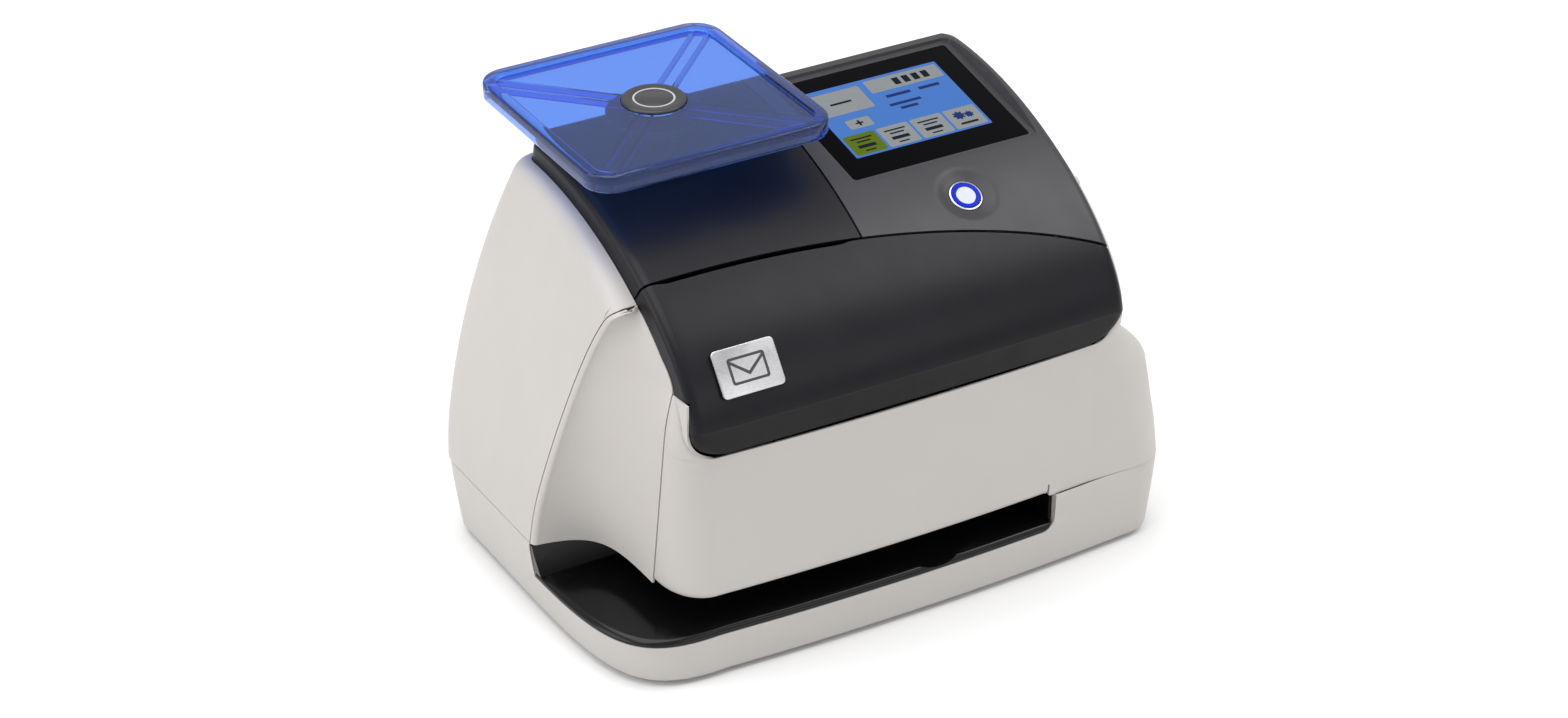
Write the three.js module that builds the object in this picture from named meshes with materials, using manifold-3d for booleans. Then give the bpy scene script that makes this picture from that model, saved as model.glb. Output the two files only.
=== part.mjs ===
// Desktop franking machine with a weighing platter, a touch display and an inkjet print carriage.
// Millimetres, +Z up. The origin lies on the table, below the middle of the machine. -Y is the front.
import * as THREE from "three";
import { mergeVertices } from "three/addons/utils/BufferGeometryUtils.js";
import Module from "manifold-3d";

const wasm = await Module();
wasm.setup();

// ---------------------------------------------------------------- driving dimensions
const GAP = 0.3; // between neighbouring pieces
const WALL = 2.5; // plastic casings
const SCOOP_WALL = 1.5; // the scoop panel, whose arched edge is rounded tightly
const HALF_WIDTH = 161; // casing at the joint between base and upper casing
const BACK = 100; // rear wall of the casing
const FRONT = 101.5; // front wall of the casing, at the middle
const BASE_FRONT = 103; // front wall of the base, at the middle
const BULGE = 1 / 3400; // the front walls are arcs of 1700 mm radius in plan
const CORNER = 21; // upright corners of the casing
const TOP_CORNER = 11; // the same corners at the top of the casing
const BASE_BOTTOM = 3; // underside of the base
const SEAM = 45; // joint between base and upper casing
const LIP = 5; // rounding of the front casing's lower edge
const SIDE_LEAN = 0.22; // how far the sides lean in above the bend, per mm of height
const SIDE_BEND = 66; // height of that bend
const SIDE_SOFTNESS = 18; // and how gently it turns
const REAR_KNEE = 90; // the back wall starts to curve in here
const REAR_DROP = 39; // and has come in this far at the top
const TOP = 227; // highest point of the dark top
const SHOULDER = 8; // rounding between the sides and the top of the white casing

// The dark top is one curved sheet. This is its side view from the front crease to the back edge.
const RIDGE = new THREE.CubicBezierCurve(
  new THREE.Vector2(-103, 143),
  new THREE.Vector2(-95, 183),
  new THREE.Vector2(-20, 229),
  new THREE.Vector2(61, TOP),
);
const TOP_LEFT = -119.5; // outer edges of the dark top
const TOP_RIGHT = 124.5;
const TOP_DEPTH = 10.5; // how far the dark top stands above the white casing
const TOP_REAR = 63; // rear wall of the dark top
const FLAP_EDGE = { y: -99.5, z: 127.2 }; // lower edge of the front flap
const FLAP_CLEARANCE = 2.1; // from there down to the casing, for the flap's swing
const FLAP_REACH = 12; // the casing keeps clear of the flap to this depth below its surface
const FLAP_CORNER = 16; // rounding of its lower corners
const FLAP_STEPS = [0, 1.2, 3.4, 7, 12]; // heights above the edge where those corners have points
const REAR_CORNER = 7;
const COVER_SPLIT = -1.5; // x of the joint between scale cover and control panel

// The joint above the flap is an arc that comes forward towards the right.
const FLAP_SEAM = { y: -52, from: -100, span: 222.5, drop: 35, power: 2.2 };

// The arched joint in front of the left side climbs from the base to the dark top.
const ARCH = { y: -7.8, length: 56, height: 150, power: 2.2 };
const ARCH_END = -47.5; // where the arch meets the dark top
const SCOOP_EDGE = -125; // x of the upright joint between scoop panel and front casing
const EDGE_ROUND = 3.5; // rounded edge of the scoop panel along the arch
const EDGE_SHARE = 0.2; // the share of its outline that this edge takes

const DECK_Z = 25; // underside of the letter deck
const DECK_TOP = 28.5;
const DECK_RIGHT = 88; // end wall of the letter slot
const LIP_END = DECK_RIGHT - 4; // a slit ends the casing's rolled lower lip here
const DECK_BACK = -8; // registration wall at the back of the letter slot

const DISPLAY = { x: 62.5, y: -28, z: 209.5, tilt: Math.atan(0.185), width: 101, depth: 82, margin: 4 };
const SCREEN = { x: 61.7, width: 78.6, front: 15.4, depth: 56.6 };
const BUTTON = { x: 62.5, y: -50.5, dish: 15, radius: 8.6, travel: 1.2 };
const BADGE = { x: -85, t: 0.185, width: 33.5, height: 23.5 };

const PLATTER = { x: -64.5, y: 34, width: 131, depth: 132, z: 238.5, height: 9, corner: 15 };
const CAP_RADIUS = 16;
const POST_RADIUS = 9;

const CHASSIS_Z = 52;
const CHASSIS_TOP = CHASSIS_Z + 1.5;
const ROD = { front: -78, rear: -27, z: 66, radius: 4 };
const FRAME_LEFT = -117;
const FRAME_RIGHT = 135;
const PARK_X = 111; // the carriage rests above the service station
const BELT = { y: -9, z: 73, radius: 7, left: -106, right: 121 };
const FLAP_AXIS = { y: -94.3, z: 113 };
const FOOT = { x: 128, y: 76, radius: 9 };

// ---------------------------------------------------------------- materials
const finish = (color, roughness, metalness = 0) => (
  new THREE.MeshStandardMaterial({ color, roughness, metalness })
);
const WHITE = finish(0xd6d1cd, 0.5);
const DARK = finish(0x3e3d42, 0.4);
const PANEL = finish(0x57565b, 0.4);
const GLOSS_BLACK = finish(0x151416, 0.15);
const STEEL = finish(0xb8bac0, 0.35, 0.9);
const SILVER = finish(0xc9c9cc, 0.3, 0.9);
const RUBBER = finish(0x1d1d1e, 0.85);
const BOARD = finish(0x1f6b3c, 0.5);
const INNER_GREY = finish(0x6b6c70, 0.6);
const BLUE = finish(0x3f55d8, 0.1);
BLUE.transparent = true;
BLUE.opacity = 0.6;
const LIGHT = finish(0xf4f6ff, 0.3);
const RIBBON = finish(0xe9e6da, 0.6);
const FOAM = finish(0x8d9196, 0.95);

// Slivers thinner than this are dropped from each finished solid.
const TOLERANCE = 0.02;

const machine = new THREE.Group();

function add(name, shape, material) {
  const geometry = shape instanceof THREE.BufferGeometry ? shape : toGeometry(shape);
  const mesh = new THREE.Mesh(geometry, material);
  mesh.name = name;
  machine.add(mesh);
}

// ---------------------------------------------------------------- solids
function solid(geometry) {
  const bare = new THREE.BufferGeometry();
  bare.setAttribute("position", geometry.getAttribute("position"));
  if (geometry.index) bare.setIndex(geometry.index);
  const merged = mergeVertices(bare, 1e-4);
  return new wasm.Manifold(new wasm.Mesh({
    numProp: 3,
    vertProperties: new Float32Array(merged.getAttribute("position").array),
    triVerts: new Uint32Array(merged.index.array),
  }));
}

function toGeometry(manifold) {
  const mesh = manifold.simplify(TOLERANCE).getMesh();
  const geometry = new THREE.BufferGeometry();
  geometry.setAttribute("position", new THREE.BufferAttribute(new Float32Array(mesh.vertProperties), 3));
  geometry.setIndex(new THREE.BufferAttribute(new Uint32Array(mesh.triVerts), 1));
  return geometry;
}

// A block between two corners.
function block([x0, y0, z0], [x1, y1, z1]) {
  const geometry = new THREE.BoxGeometry(x1 - x0, y1 - y0, z1 - z0);
  geometry.translate((x0 + x1) / 2, (y0 + y1) / 2, (z0 + z1) / 2);
  return solid(geometry);
}

// A round bar from one point to another.
function bar(from, to, radius, sides = 16) {
  const start = new THREE.Vector3(...from);
  const end = new THREE.Vector3(...to);
  const geometry = new THREE.CylinderGeometry(radius, radius, start.distanceTo(end), sides);
  const along = end.clone().sub(start).normalize();
  geometry.applyQuaternion(new THREE.Quaternion().setFromUnitVectors(new THREE.Vector3(0, 1, 0), along));
  geometry.translate(...start.add(end).multiplyScalar(0.5));
  return solid(geometry);
}

// A prism on an outline, which is a list of points or a shape already drawn.
function extrude(outline, depth) {
  const isList = Array.isArray(outline);
  const shape = isList ? new THREE.Shape(outline.map((point) => new THREE.Vector2(...point))) : outline;
  return new THREE.ExtrudeGeometry(shape, { depth, bevelEnabled: false, curveSegments: 6 });
}

// An outline in the XY plane, raised from z0 to z1.
function plate(points, z0, z1) {
  const geometry = extrude(points, z1 - z0);
  geometry.translate(0, 0, z0);
  return solid(geometry);
}

// The same for an outline drawn in the YZ plane, spread from x0 to x1.
function sidePlate(points, x0, x1) {
  const geometry = extrude(points, x1 - x0);
  geometry.applyMatrix4(new THREE.Matrix4().set(0, 0, 1, x0, 1, 0, 0, 0, 0, 1, 0, 0, 0, 0, 0, 1));
  return solid(geometry);
}

// The same for an outline drawn in the XZ plane, spread from y0 to y1.
function frontPlate(points, y0, y1) {
  const geometry = extrude(points, y1 - y0);
  geometry.applyMatrix4(new THREE.Matrix4().set(1, 0, 0, 0, 0, 0, -1, y1, 0, 1, 0, 0, 0, 0, 0, 1));
  return solid(geometry);
}

function roundedRectangle(x0, y0, x1, y1, radius) {
  const shape = new THREE.Shape();
  shape.moveTo(x0 + radius, y0);
  shape.lineTo(x1 - radius, y0);
  shape.absarc(x1 - radius, y0 + radius, radius, -Math.PI / 2, 0);
  shape.lineTo(x1, y1 - radius);
  shape.absarc(x1 - radius, y1 - radius, radius, 0, Math.PI / 2);
  shape.lineTo(x0 + radius, y1);
  shape.absarc(x0 + radius, y1 - radius, radius, Math.PI / 2, Math.PI);
  shape.lineTo(x0, y0 + radius);
  shape.absarc(x0 + radius, y0 + radius, radius, Math.PI, Math.PI * 1.5);
  return shape;
}

// A solid through a stack of rings, each a list of [x, y, z] running counterclockwise seen from above.
function loft(rings) {
  const count = rings[0].length;
  const positions = rings.flat(2);
  const index = [];
  for (let level = 0; level + 1 < rings.length; level += 1) {
    for (let i = 0; i < count; i += 1) {
      const a = level * count + i;
      const b = level * count + ((i + 1) % count);
      index.push(a, b, b + count, a, b + count, a + count);
    }
  }
  const last = (rings.length - 1) * count;
  const cap = (ring) => THREE.ShapeUtils.triangulateShape(ring.map(([x, y]) => new THREE.Vector2(x, y)), []);
  for (const [a, b, c] of cap(rings[0])) index.push(a, c, b);
  for (const [a, b, c] of cap(rings[rings.length - 1])) index.push(last + a, last + b, last + c);
  const geometry = new THREE.BufferGeometry();
  geometry.setAttribute("position", new THREE.Float32BufferAttribute(positions, 3));
  geometry.setIndex(index);
  return solid(geometry);
}

// A sheet of even thickness below a surface. surface(u, v) gives a point of the outer face for each
// column u and row v, with the outside on the left of +u seen along +v. keep(i, j) leaves cells out.
function sheet(columns, rows, surface, thickness = WALL, keep = () => true) {
  const width = columns.length;
  const outer = rows.flatMap((v) => columns.map((u) => new THREE.Vector3(...surface(u, v))));
  const normals = outer.map(() => new THREE.Vector3());
  const cells = [];
  for (let j = 0; j + 1 < rows.length; j += 1) {
    for (let i = 0; i + 1 < width; i += 1) {
      const first = j * width + i;
      if (keep(i, j)) cells.push([first, first + 1, first + width + 1, first + width]);
    }
  }
  for (const cell of cells) {
    const [a, b, c, d] = cell.map((k) => outer[k]);
    const normal = c.clone().sub(a).cross(d.clone().sub(b)).normalize();
    for (const k of cell) normals[k].add(normal);
  }
  const inner = outer.map((point, k) => point.clone().addScaledVector(normals[k].normalize(), -thickness));
  const total = outer.length;
  const index = [];
  const open = new Map();
  for (const [a, b, c, d] of cells) {
    index.push(a, b, c, a, c, d);
    index.push(total + a, total + c, total + b, total + a, total + d, total + c);
    for (const [from, to] of [[a, b], [b, c], [c, d], [d, a]]) {
      if (!open.delete(`${to} ${from}`)) open.set(`${from} ${to}`, [from, to]);
    }
  }
  for (const [from, to] of open.values()) {
    index.push(from, total + from, total + to, from, total + to, to);
  }
  const geometry = new THREE.BufferGeometry();
  const places = [...outer, ...inner].flatMap((point) => point.toArray());
  geometry.setAttribute("position", new THREE.Float32BufferAttribute(places, 3));
  geometry.setIndex(index);
  return solid(geometry);
}

const steps = (from, to, count) => (
  Array.from({ length: count + 1 }, (_, i) => from + ((to - from) * i) / count)
);
const mix = (a, b, t) => a + (b - a) * t;
const clamp = (value, low, high) => Math.min(high, Math.max(low, value));

function bezier(points, t) {
  const [a, b, c, d] = points;
  const s = 1 - t;
  return a.map((_, k) => s * s * s * a[k] + 3 * s * s * t * b[k] + 3 * s * t * t * c[k] + t * t * t * d[k]);
}

// Finds where a rising function of t passes through zero, between low and high.
function root(rising, low, high) {
  for (let i = 0; i < 40; i += 1) {
    const middle = (low + high) / 2;
    if (rising(middle) < 0) low = middle;
    else high = middle;
  }
  return (low + high) / 2;
}

// ---------------------------------------------------------------- the casing's outer form
const frontArc = (x, front) => x * x * BULGE - front;

function halfWidth(z) {
  const above = z - SIDE_BEND;
  return HALF_WIDTH - (SIDE_LEAN * (Math.hypot(above, SIDE_SOFTNESS) + above)) / 2;
}

// The right side rolls in below the front flap and then follows the dark top closely.
const RIGHT_ROLL = { from: 101, to: 131, x: 130.5 };

function rightWidth(z) {
  const share = clamp((z - RIGHT_ROLL.from) / (RIGHT_ROLL.to - RIGHT_ROLL.from), 0, 1);
  return mix(halfWidth(z), Math.min(RIGHT_ROLL.x, halfWidth(z)), share * share * (3 - 2 * share));
}

const cornerRadius = (z) => mix(CORNER, TOP_CORNER, clamp((z - SEAM) / (TOP - SEAM), 0, 1) ** 2);
const rearLine = (z) => BACK - REAR_DROP * (Math.max(0, z - REAR_KNEE) / (TOP - REAR_KNEE)) ** 2;
const archHeight = (y) => {
  const left = clamp(1 - (ARCH.y - y) / ARCH.length, 0, 1);
  return SEAM + ARCH.height * (1 - left ** ARCH.power);
};
const archLine = (z) => {
  const left = clamp(1 - (z - SEAM) / ARCH.height, 0, 1);
  return ARCH.y - ARCH.length * (1 - left ** (1 / ARCH.power));
};

// A point of the dark top's side view, depth below its surface.
function ridge(t, depth = 0) {
  const point = RIDGE.getPoint(t);
  const tangent = RIDGE.getTangent(t);
  return [point.x + tangent.y * depth, point.y - tangent.x * depth];
}

const ridgeAt = (y, depth = 0) => ridge(root((t) => ridge(t, depth)[0] - y, 0, 1), depth);
const ridgeAtHeight = (z, depth = 0) => ridge(root((t) => ridge(t, depth)[1] - z, 0, 1), depth);
const whiteTop = (y) => ridgeAt(y, TOP_DEPTH)[1];
const whiteTopLine = (z) => ridgeAtHeight(z, TOP_DEPTH)[0];
const flapSeam = (x) => {
  const share = Math.max(0, x - FLAP_SEAM.from) / FLAP_SEAM.span;
  return FLAP_SEAM.y - FLAP_SEAM.drop * share ** FLAP_SEAM.power;
};

// ---------------------------------------------------------------- base
function baseRing(z, inset, front = BASE_FRONT) {
  const left = -HALF_WIDTH + inset;
  const right = HALF_WIDTH - inset;
  const back = BACK - 4 - inset / 2;
  const y = (x) => frontArc(x, front) + inset * 0.4;
  const ring = [];
  const sweep = [[left, 0], [left + 0.5, -78], [left + 7, y(left + 55) - 2], [left + 55, y(left + 55)]];
  for (const t of steps(0, 1, 9)) ring.push(bezier(sweep, t));
  for (const x of steps(-70, 100, 4)) ring.push([x, y(x)]);
  const radius = CORNER - inset;
  const corner = (cx, cy, start) => {
    for (const angle of steps(start, start + Math.PI / 2, 6)) {
      ring.push([cx + radius * Math.cos(angle), cy + radius * Math.sin(angle)]);
    }
  };
  corner(right - radius, y(right - radius) + radius, -Math.PI / 2);
  corner(right - radius, back - radius, 0);
  corner(left + radius, back - radius, Math.PI / 2);
  return ring.map(([px, py]) => [px, py, z]);
}

const baseInset = (z) => 7 * ((SEAM - z) / SEAM) ** 1.2;

// The front view of the space above the letter deck, drawn smaller by margin.
function slotOutline(margin) {
  const radius = 7;
  const right = DECK_RIGHT - margin;
  const low = DECK_Z - GAP + margin;
  const slot = new THREE.Shape();
  slot.moveTo(-200, low);
  slot.lineTo(right - radius, low);
  slot.absarc(right - radius, low + radius, radius, -Math.PI / 2, 0);
  slot.lineTo(right, 60);
  slot.lineTo(-200, 60);
  return slot;
}

function makeBase() {
  const outer = loft([
    baseRing(BASE_BOTTOM, baseInset(BASE_BOTTOM) + 1.5),
    baseRing(BASE_BOTTOM + 3, baseInset(BASE_BOTTOM + 3)),
    baseRing(26, baseInset(26)),
    baseRing(SEAM, 0),
  ]);
  const inner = loft([
    baseRing(BASE_BOTTOM + WALL, baseInset(BASE_BOTTOM) + WALL + 2),
    baseRing(26, baseInset(26) + WALL),
    baseRing(SEAM + 1, WALL),
  ]);
  let base = outer.subtract(inner);
  const walls = block([DECK_RIGHT, -120, 5], [DECK_RIGHT + WALL, DECK_BACK, SEAM])
    .add(block([-165, DECK_BACK, 5], [DECK_RIGHT + WALL, DECK_BACK + WALL, SEAM]));
  base = base.add(walls.intersect(outer)).subtract(frontPlate(slotOutline(0), -130, DECK_BACK));
  const pocket = [BASE_BOTTOM + 1.2, FOOT.radius + 0.6];
  for (const [x, y] of feetPlaces()) base = base.subtract(bar([x, y, 0], [x, y, pocket[0]], pocket[1], 20));
  for (const [x, y] of screwPlaces()) base = base.subtract(bar([x, y, 0], [x, y, 9], 2.2, 12));
  add("base_tray", base, WHITE);
}

function feetPlaces() {
  return [[-FOOT.x + 8, -FOOT.y], [FOOT.x, -FOOT.y], [-FOOT.x - 8, FOOT.y - 14], [FOOT.x, FOOT.y]];
}

function screwPlaces() {
  return [[100, -40], [100, 60], [-100, 60]];
}

function makeFeetAndScrews() {
  const footNames = ["foot_front_left", "foot_front_right", "foot_rear_left", "foot_rear_right"];
  feetPlaces().forEach(([x, y], i) => {
    add(footNames[i], bar([x, y, 0], [x, y, BASE_BOTTOM + 1.2 - GAP], FOOT.radius, 20), RUBBER);
  });
  const screwNames = ["case_screw_front", "case_screw_rear_right", "case_screw_rear_left"];
  screwPlaces().forEach(([x, y], i) => {
    const head = bar([x, y, 7.3], [x, y, 9.5], 3.6, 12);
    add(screwNames[i], head.add(bar([x, y, 3], [x, y, 8], 1.8, 8)), STEEL);
  });
}

function makeDeck() {
  const slab = loft([
    baseRing(DECK_Z, baseInset(DECK_Z) + 0.2),
    baseRing(DECK_Z + 1.5, baseInset(DECK_Z) + 0.6),
    baseRing(DECK_TOP, baseInset(DECK_Z) + 4.5),
  ]);
  const reach = frontPlate(slotOutline(GAP), -130, DECK_BACK - GAP);
  const foot = [DECK_BACK - GAP, DECK_Z + 2];
  const wall = [[-15, DECK_Z + 2], foot, [foot[0], SEAM - GAP], [-10.5, SEAM - GAP]];
  const upstand = sidePlate(wall, -170, DECK_RIGHT - GAP)
    .intersect(loft([baseRing(DECK_Z, baseInset(DECK_Z) + 0.2), baseRing(SEAM, 0.2)]));
  const dimple = new THREE.SphereGeometry(24, 20, 12).translate(19, -96, DECK_TOP + 21);
  let deck = slab.add(upstand).intersect(reach);
  deck = deck.subtract(solid(dimple)).subtract(block([-96, -72.5, 20], [76, -29.5, 40]));
  deck = deck.subtract(block([37, -16, DECK_TOP + 1], [43, DECK_BACK, SEAM]));
  add("letter_deck", deck, GLOSS_BLACK);
}

// ---------------------------------------------------------------- white upper casing
// Outline of the rear shell at height z. Stations run along the left side (0 to 1, with the foot of
// the arch at one half), round the rear left corner (to 2), along the back (to 3), round the right
// corner (to 4) and forward along the right side (to 5).
function shellOutline(station, z) {
  const left = -halfWidth(z);
  const right = rightWidth(z);
  const back = rearLine(z);
  const radius = cornerRadius(z);
  const part = Math.min(4, Math.floor(station));
  const f = station - part;
  if (part === 0) return [left, sideLine(f, back - radius)];
  if (part === 1) return arcPoint(left + radius, back - radius, Math.PI - (f * Math.PI) / 2, radius);
  if (part === 2) return [mix(left + radius, right - radius, f), back];
  if (part === 3) return arcPoint(right - radius, back - radius, Math.PI / 2 - (f * Math.PI) / 2, radius);
  return [right, sideLine(1 - f, back - radius)];
}

function sideLine(f, back) {
  const foot = ARCH.y + GAP;
  return f < 0.5 ? mix(ARCH_END, foot, 2 * f) : mix(foot, back, 2 * f - 1);
}

const arcPoint = (x, y, angle, radius) => [x + radius * Math.cos(angle), y + radius * Math.sin(angle)];

// Where the white top meets the wall of the dark top, for the same stations.
function shellInnerEdge(station, y) {
  const part = Math.min(4, Math.floor(station));
  const f = station - part;
  const left = TOP_LEFT - GAP;
  const right = TOP_RIGHT + GAP;
  const back = TOP_REAR + GAP;
  const cornerY = back - REAR_CORNER;
  let point = [right, y];
  const turn = (f * Math.PI) / 2;
  if (part === 0) point = [left, y];
  if (part === 1) point = arcPoint(left + REAR_CORNER, cornerY, Math.PI - turn, REAR_CORNER);
  if (part === 2) point = [mix(left + REAR_CORNER, right - REAR_CORNER, f), back];
  if (part === 3) point = arcPoint(right - REAR_CORNER, cornerY, Math.PI / 2 - turn, REAR_CORNER);
  return [...point, whiteTop(Math.min(point[1], RIDGE.v3.x))];
}

// Walks up one station: v from 0 to 1 is the wall, 1 to 2 the rounded shoulder, 2 to 3 the top strip.
function shellPoint(station, v) {
  const height = root((z) => z - whiteTop(Math.min(RIDGE.v3.x, shellOutline(station, z)[1])), 100, TOP);
  const edge = [...shellOutline(station, height), height];
  const inner = shellInnerEdge(station, edge[1]);
  const foot = archHeight(shellOutline(station, SEAM)[1]) + GAP;
  const reach = Math.hypot(edge[0] - inner[0], edge[1] - inner[1]);
  const radius = Math.min(SHOULDER, 0.8 * (height - foot), 0.8 * reach);
  const wallTop = height - radius;
  const wall = (z) => [...shellOutline(station, z), z];
  if (v <= 1) return wall(mix(foot, wallTop, v));
  const turned = edge.map((value, k) => mix(value, inner[k], radius / reach));
  if (v >= 2) return turned.map((value, k) => mix(value, inner[k], v - 2));
  const t = v - 1;
  const weights = [(1 - t) ** 2, 2 * t * (1 - t), t * t];
  return wall(wallTop).map((value, k) => weights[0] * value + weights[1] * edge[k] + weights[2] * turned[k]);
}

function makeRearShell() {
  const columns = [...steps(0, 1, 10), ...steps(1, 2, 4).slice(1), 3, ...steps(3, 4, 4).slice(1),
    ...steps(4, 5, 10).slice(1)];
  const rows = [...steps(0, 1, 6), 1.5, 2, 3];
  let shell = sheet(columns, rows, (u, v) => shellPoint(5 - u, v));
  shell = shell.subtract(block([99.7, 85, 59.7], [128.3, 110, 82.3]));
  shell = shell.subtract(block([57.7, 85, 61.7], [76.3, 110, 76.3]));
  add("rear_shell", shell, WHITE);
}

// How far the front casing's wall comes in at its rounded lower edge.
function lipInset(z) {
  const rise = clamp(z - (SEAM + GAP), 0, LIP);
  return LIP - Math.sqrt(LIP * LIP - (LIP - rise) ** 2);
}

// The upright joint between scoop panel and front casing leans back as it rises.
const scoopJoint = (z) => [SCOOP_EDGE + (z - SEAM) / 60, -70 - (z - SEAM) * 0.13];
const JOINT_TOP = 157; // here the upright joint meets the dark top

// Across the scoop panel from the arched joint (f = 0) to the upright joint or the dark top (f = 1):
// a rounded edge first, then one sweep that is hollow low down and nearly straight higher up.
function scoopOutline(f, z) {
  const side = -halfWidth(z);
  const arch = archLine(z) - 2 * GAP;
  const joint = scoopJoint(z);
  const blend = clamp((z - JOINT_TOP) / 14, 0, 1) ** 0.5;
  const end = [mix(joint[0], TOP_LEFT - GAP, blend), mix(joint[1], whiteTopLine(z), blend)];
  const height = clamp((z - SEAM) / (whiteTop(ARCH_END) - SEAM), 0, 1);
  const hollow = (1 - height) ** 2;
  const start = [side + EDGE_ROUND * mix(0.5, 1, hollow), arch - EDGE_ROUND];
  if (f < EDGE_SHARE) {
    const t = f / EDGE_SHARE;
    const along = [(1 - t) ** 2, 2 * t * (1 - t), t * t];
    const x = side * (along[0] + along[1]) + start[0] * along[2];
    return [x, arch * along[0] + start[1] * (along[1] + along[2])];
  }
  const first = [mix(start[0], end[0], mix(0.45, 0.95, hollow)), mix(start[1], end[1], 0.08)];
  const second = [end[0], mix(start[1], end[1], mix(0.55, 0.3, hollow))];
  return bezier([start, first, second, end], (f - EDGE_SHARE) / (1 - EDGE_SHARE));
}

function makeScoop() {
  const top = whiteTop(ARCH_END) - 1.2;
  const rows = [...steps(SEAM + GAP, JOINT_TOP, 7), ...steps(JOINT_TOP, top, 7).slice(1)];
  const surface = (f, z) => [...scoopOutline(mix(0.004, 0.996, f), z), z];
  const columns = [...steps(0, EDGE_SHARE, 3), ...steps(EDGE_SHARE, 1, 9).slice(1)];
  const panel = sheet(columns, rows, surface, SCOOP_WALL);
  add("scoop_panel", panel.subtract(flapSheet(GAP, WALL + 3 * GAP)), WHITE);
}

// The front casing's outline at height z: the left corner (station 0 to 1), the front wall (to 2),
// the right corner (to 3) and the right side back to its arched joint (to 4).
function frontOutline(station, z) {
  const part = Math.min(3, Math.floor(station));
  const f = station - part;
  const left = frontKnee(z, -1);
  const right = frontKnee(z, 1);
  if (part === 0) {
    const joint = scoopJoint(z);
    const start = [joint[0] + GAP, joint[1] - GAP];
    const depth = start[1] - left[1];
    const controls = [[start[0], left[1] + depth * 0.3], [mix(start[0], left[0], 0.55), left[1]]];
    return bezier([start, ...controls, left], f);
  }
  if (part === 1) {
    const x = mix(left[0], right[0], f);
    return [x, frontArc(x, FRONT)];
  }
  const w = rightWidth(z);
  const fuller = CORNER + 5 * clamp((z - SEAM) / 30, 0, 1);
  const radius = Math.min(fuller, Math.max(2, w - right[0] - 0.5));
  if (part === 3) return [w, mix(right[1] + radius, archLine(z) - GAP, f)];
  const straight = (w - radius - right[0]) / (w - radius - right[0] + radius * 1.5);
  if (f < straight) return [mix(right[0], w - radius, f / straight), right[1]];
  const angle = -Math.PI / 2 + ((f - straight) / (1 - straight)) * (Math.PI / 2);
  return arcPoint(w - radius, right[1] + radius, angle, radius);
}

// The ends of the front wall: below the flap a fixed x, above its edge the sides of the dark top.
function frontKnee(z, side) {
  const rise = z - FLAP_EDGE.z + FLAP_CLEARANCE;
  const rounding = roundOff(rise, FLAP_CORNER);
  const x = side < 0 ? TOP_LEFT - GAP + rounding : TOP_RIGHT + GAP - rounding;
  const front = frontArc(x, FRONT);
  const share = clamp(rise / FLAP_CORNER, 0, 1);
  return [x, mix(front, Math.max(front, whiteTopLine(z)), share)];
}

const roundOff = (distance, radius) => {
  const share = clamp(1 - distance / radius, 0, 1);
  return radius * (1 - Math.sqrt(1 - share * share));
};

function lippedFront(station, z) {
  const [x, y] = frontOutline(station, z);
  const inset = x > LIP_END ? 0 : lipInset(z);
  if (inset === 0) return [x, y, z];
  const [ax, ay] = frontOutline(Math.max(0, station - 0.01), z);
  const [bx, by] = frontOutline(station + 0.01, z);
  const length = Math.hypot(bx - ax, by - ay);
  return [x - ((by - ay) / length) * inset, y + ((bx - ax) / length) * inset, z];
}

function makeFrontCasing() {
  const left = frontKnee(SEAM, -1)[0];
  const notch = 1 + (LIP_END - left) / (frontKnee(SEAM, 1)[0] - left);
  const columns = [...steps(0, 1, 6), ...steps(1, notch - 0.01, 4).slice(1), notch + 0.01, 2,
    ...steps(2, 3, 6).slice(1), ...steps(3, 4, 4).slice(1)];
  const leftEnd = columns.indexOf(1);
  const rightStart = columns.indexOf(2);
  const lip = [0, 0.6, 2, LIP].map((rise) => SEAM + GAP + rise);
  const top = whiteTop(ARCH_END) - 1.2;
  const edge = FLAP_EDGE.z - FLAP_CLEARANCE;
  const rows = [...lip, 75, 100, 112, ...FLAP_STEPS.map((rise) => edge + rise), edge + FLAP_CORNER, JOINT_TOP,
    ...steps(JOINT_TOP, top, 4).slice(1)];
  const keep = (i, j) => rows[j + 1] <= edge || i >= rightStart || (i < leftEnd && rows[j + 1] <= JOINT_TOP);
  let casing = sheet(columns, rows, lippedFront, WALL, keep);
  casing = casing.subtract(block([LIP_END - 0.5, -110, 40], [LIP_END + 0.5, -85, 52]));
  add("front_casing", casing.subtract(flapSheet(GAP - 0.03, FLAP_REACH)), WHITE);
}

// ---------------------------------------------------------------- dark top
const SEAM_HALF = 0.5; // half the width of the joints in the dark top
const TOP_BULGE = 1.5; // the sheet bulges forward by this at its middle
const FINGER_GAP = 1.2; // extra width of the joint where a finger opens the flap

// The edges of the sheet in section, as steps in from its outer edge and depths below its surface.
const EDGE_STEPS = [[0, TOP_DEPTH], [0.8, 5], [1.8, 1.3], [4, 0]];

const topBulge = (x, t) => TOP_BULGE * (1 - t) * (1 - ((x - 2.5) / 122) ** 2);

function topPoint(x, t, depth) {
  const side = t < 0 ? flapBevel(-t, depth) : ridge(t, depth);
  return [x, side[0] - topBulge(x, Math.max(0, t)), side[1]];
}

// The flap's lower bevel, share 0 at the crease and 1 at the lower edge.
function flapBevel(share, depth) {
  const crease = ridge(0, depth);
  const lower = [FLAP_EDGE.y + depth * 0.95, FLAP_EDGE.z];
  return [mix(crease[0], lower[0], share), mix(crease[1], lower[1], share)];
}

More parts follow.
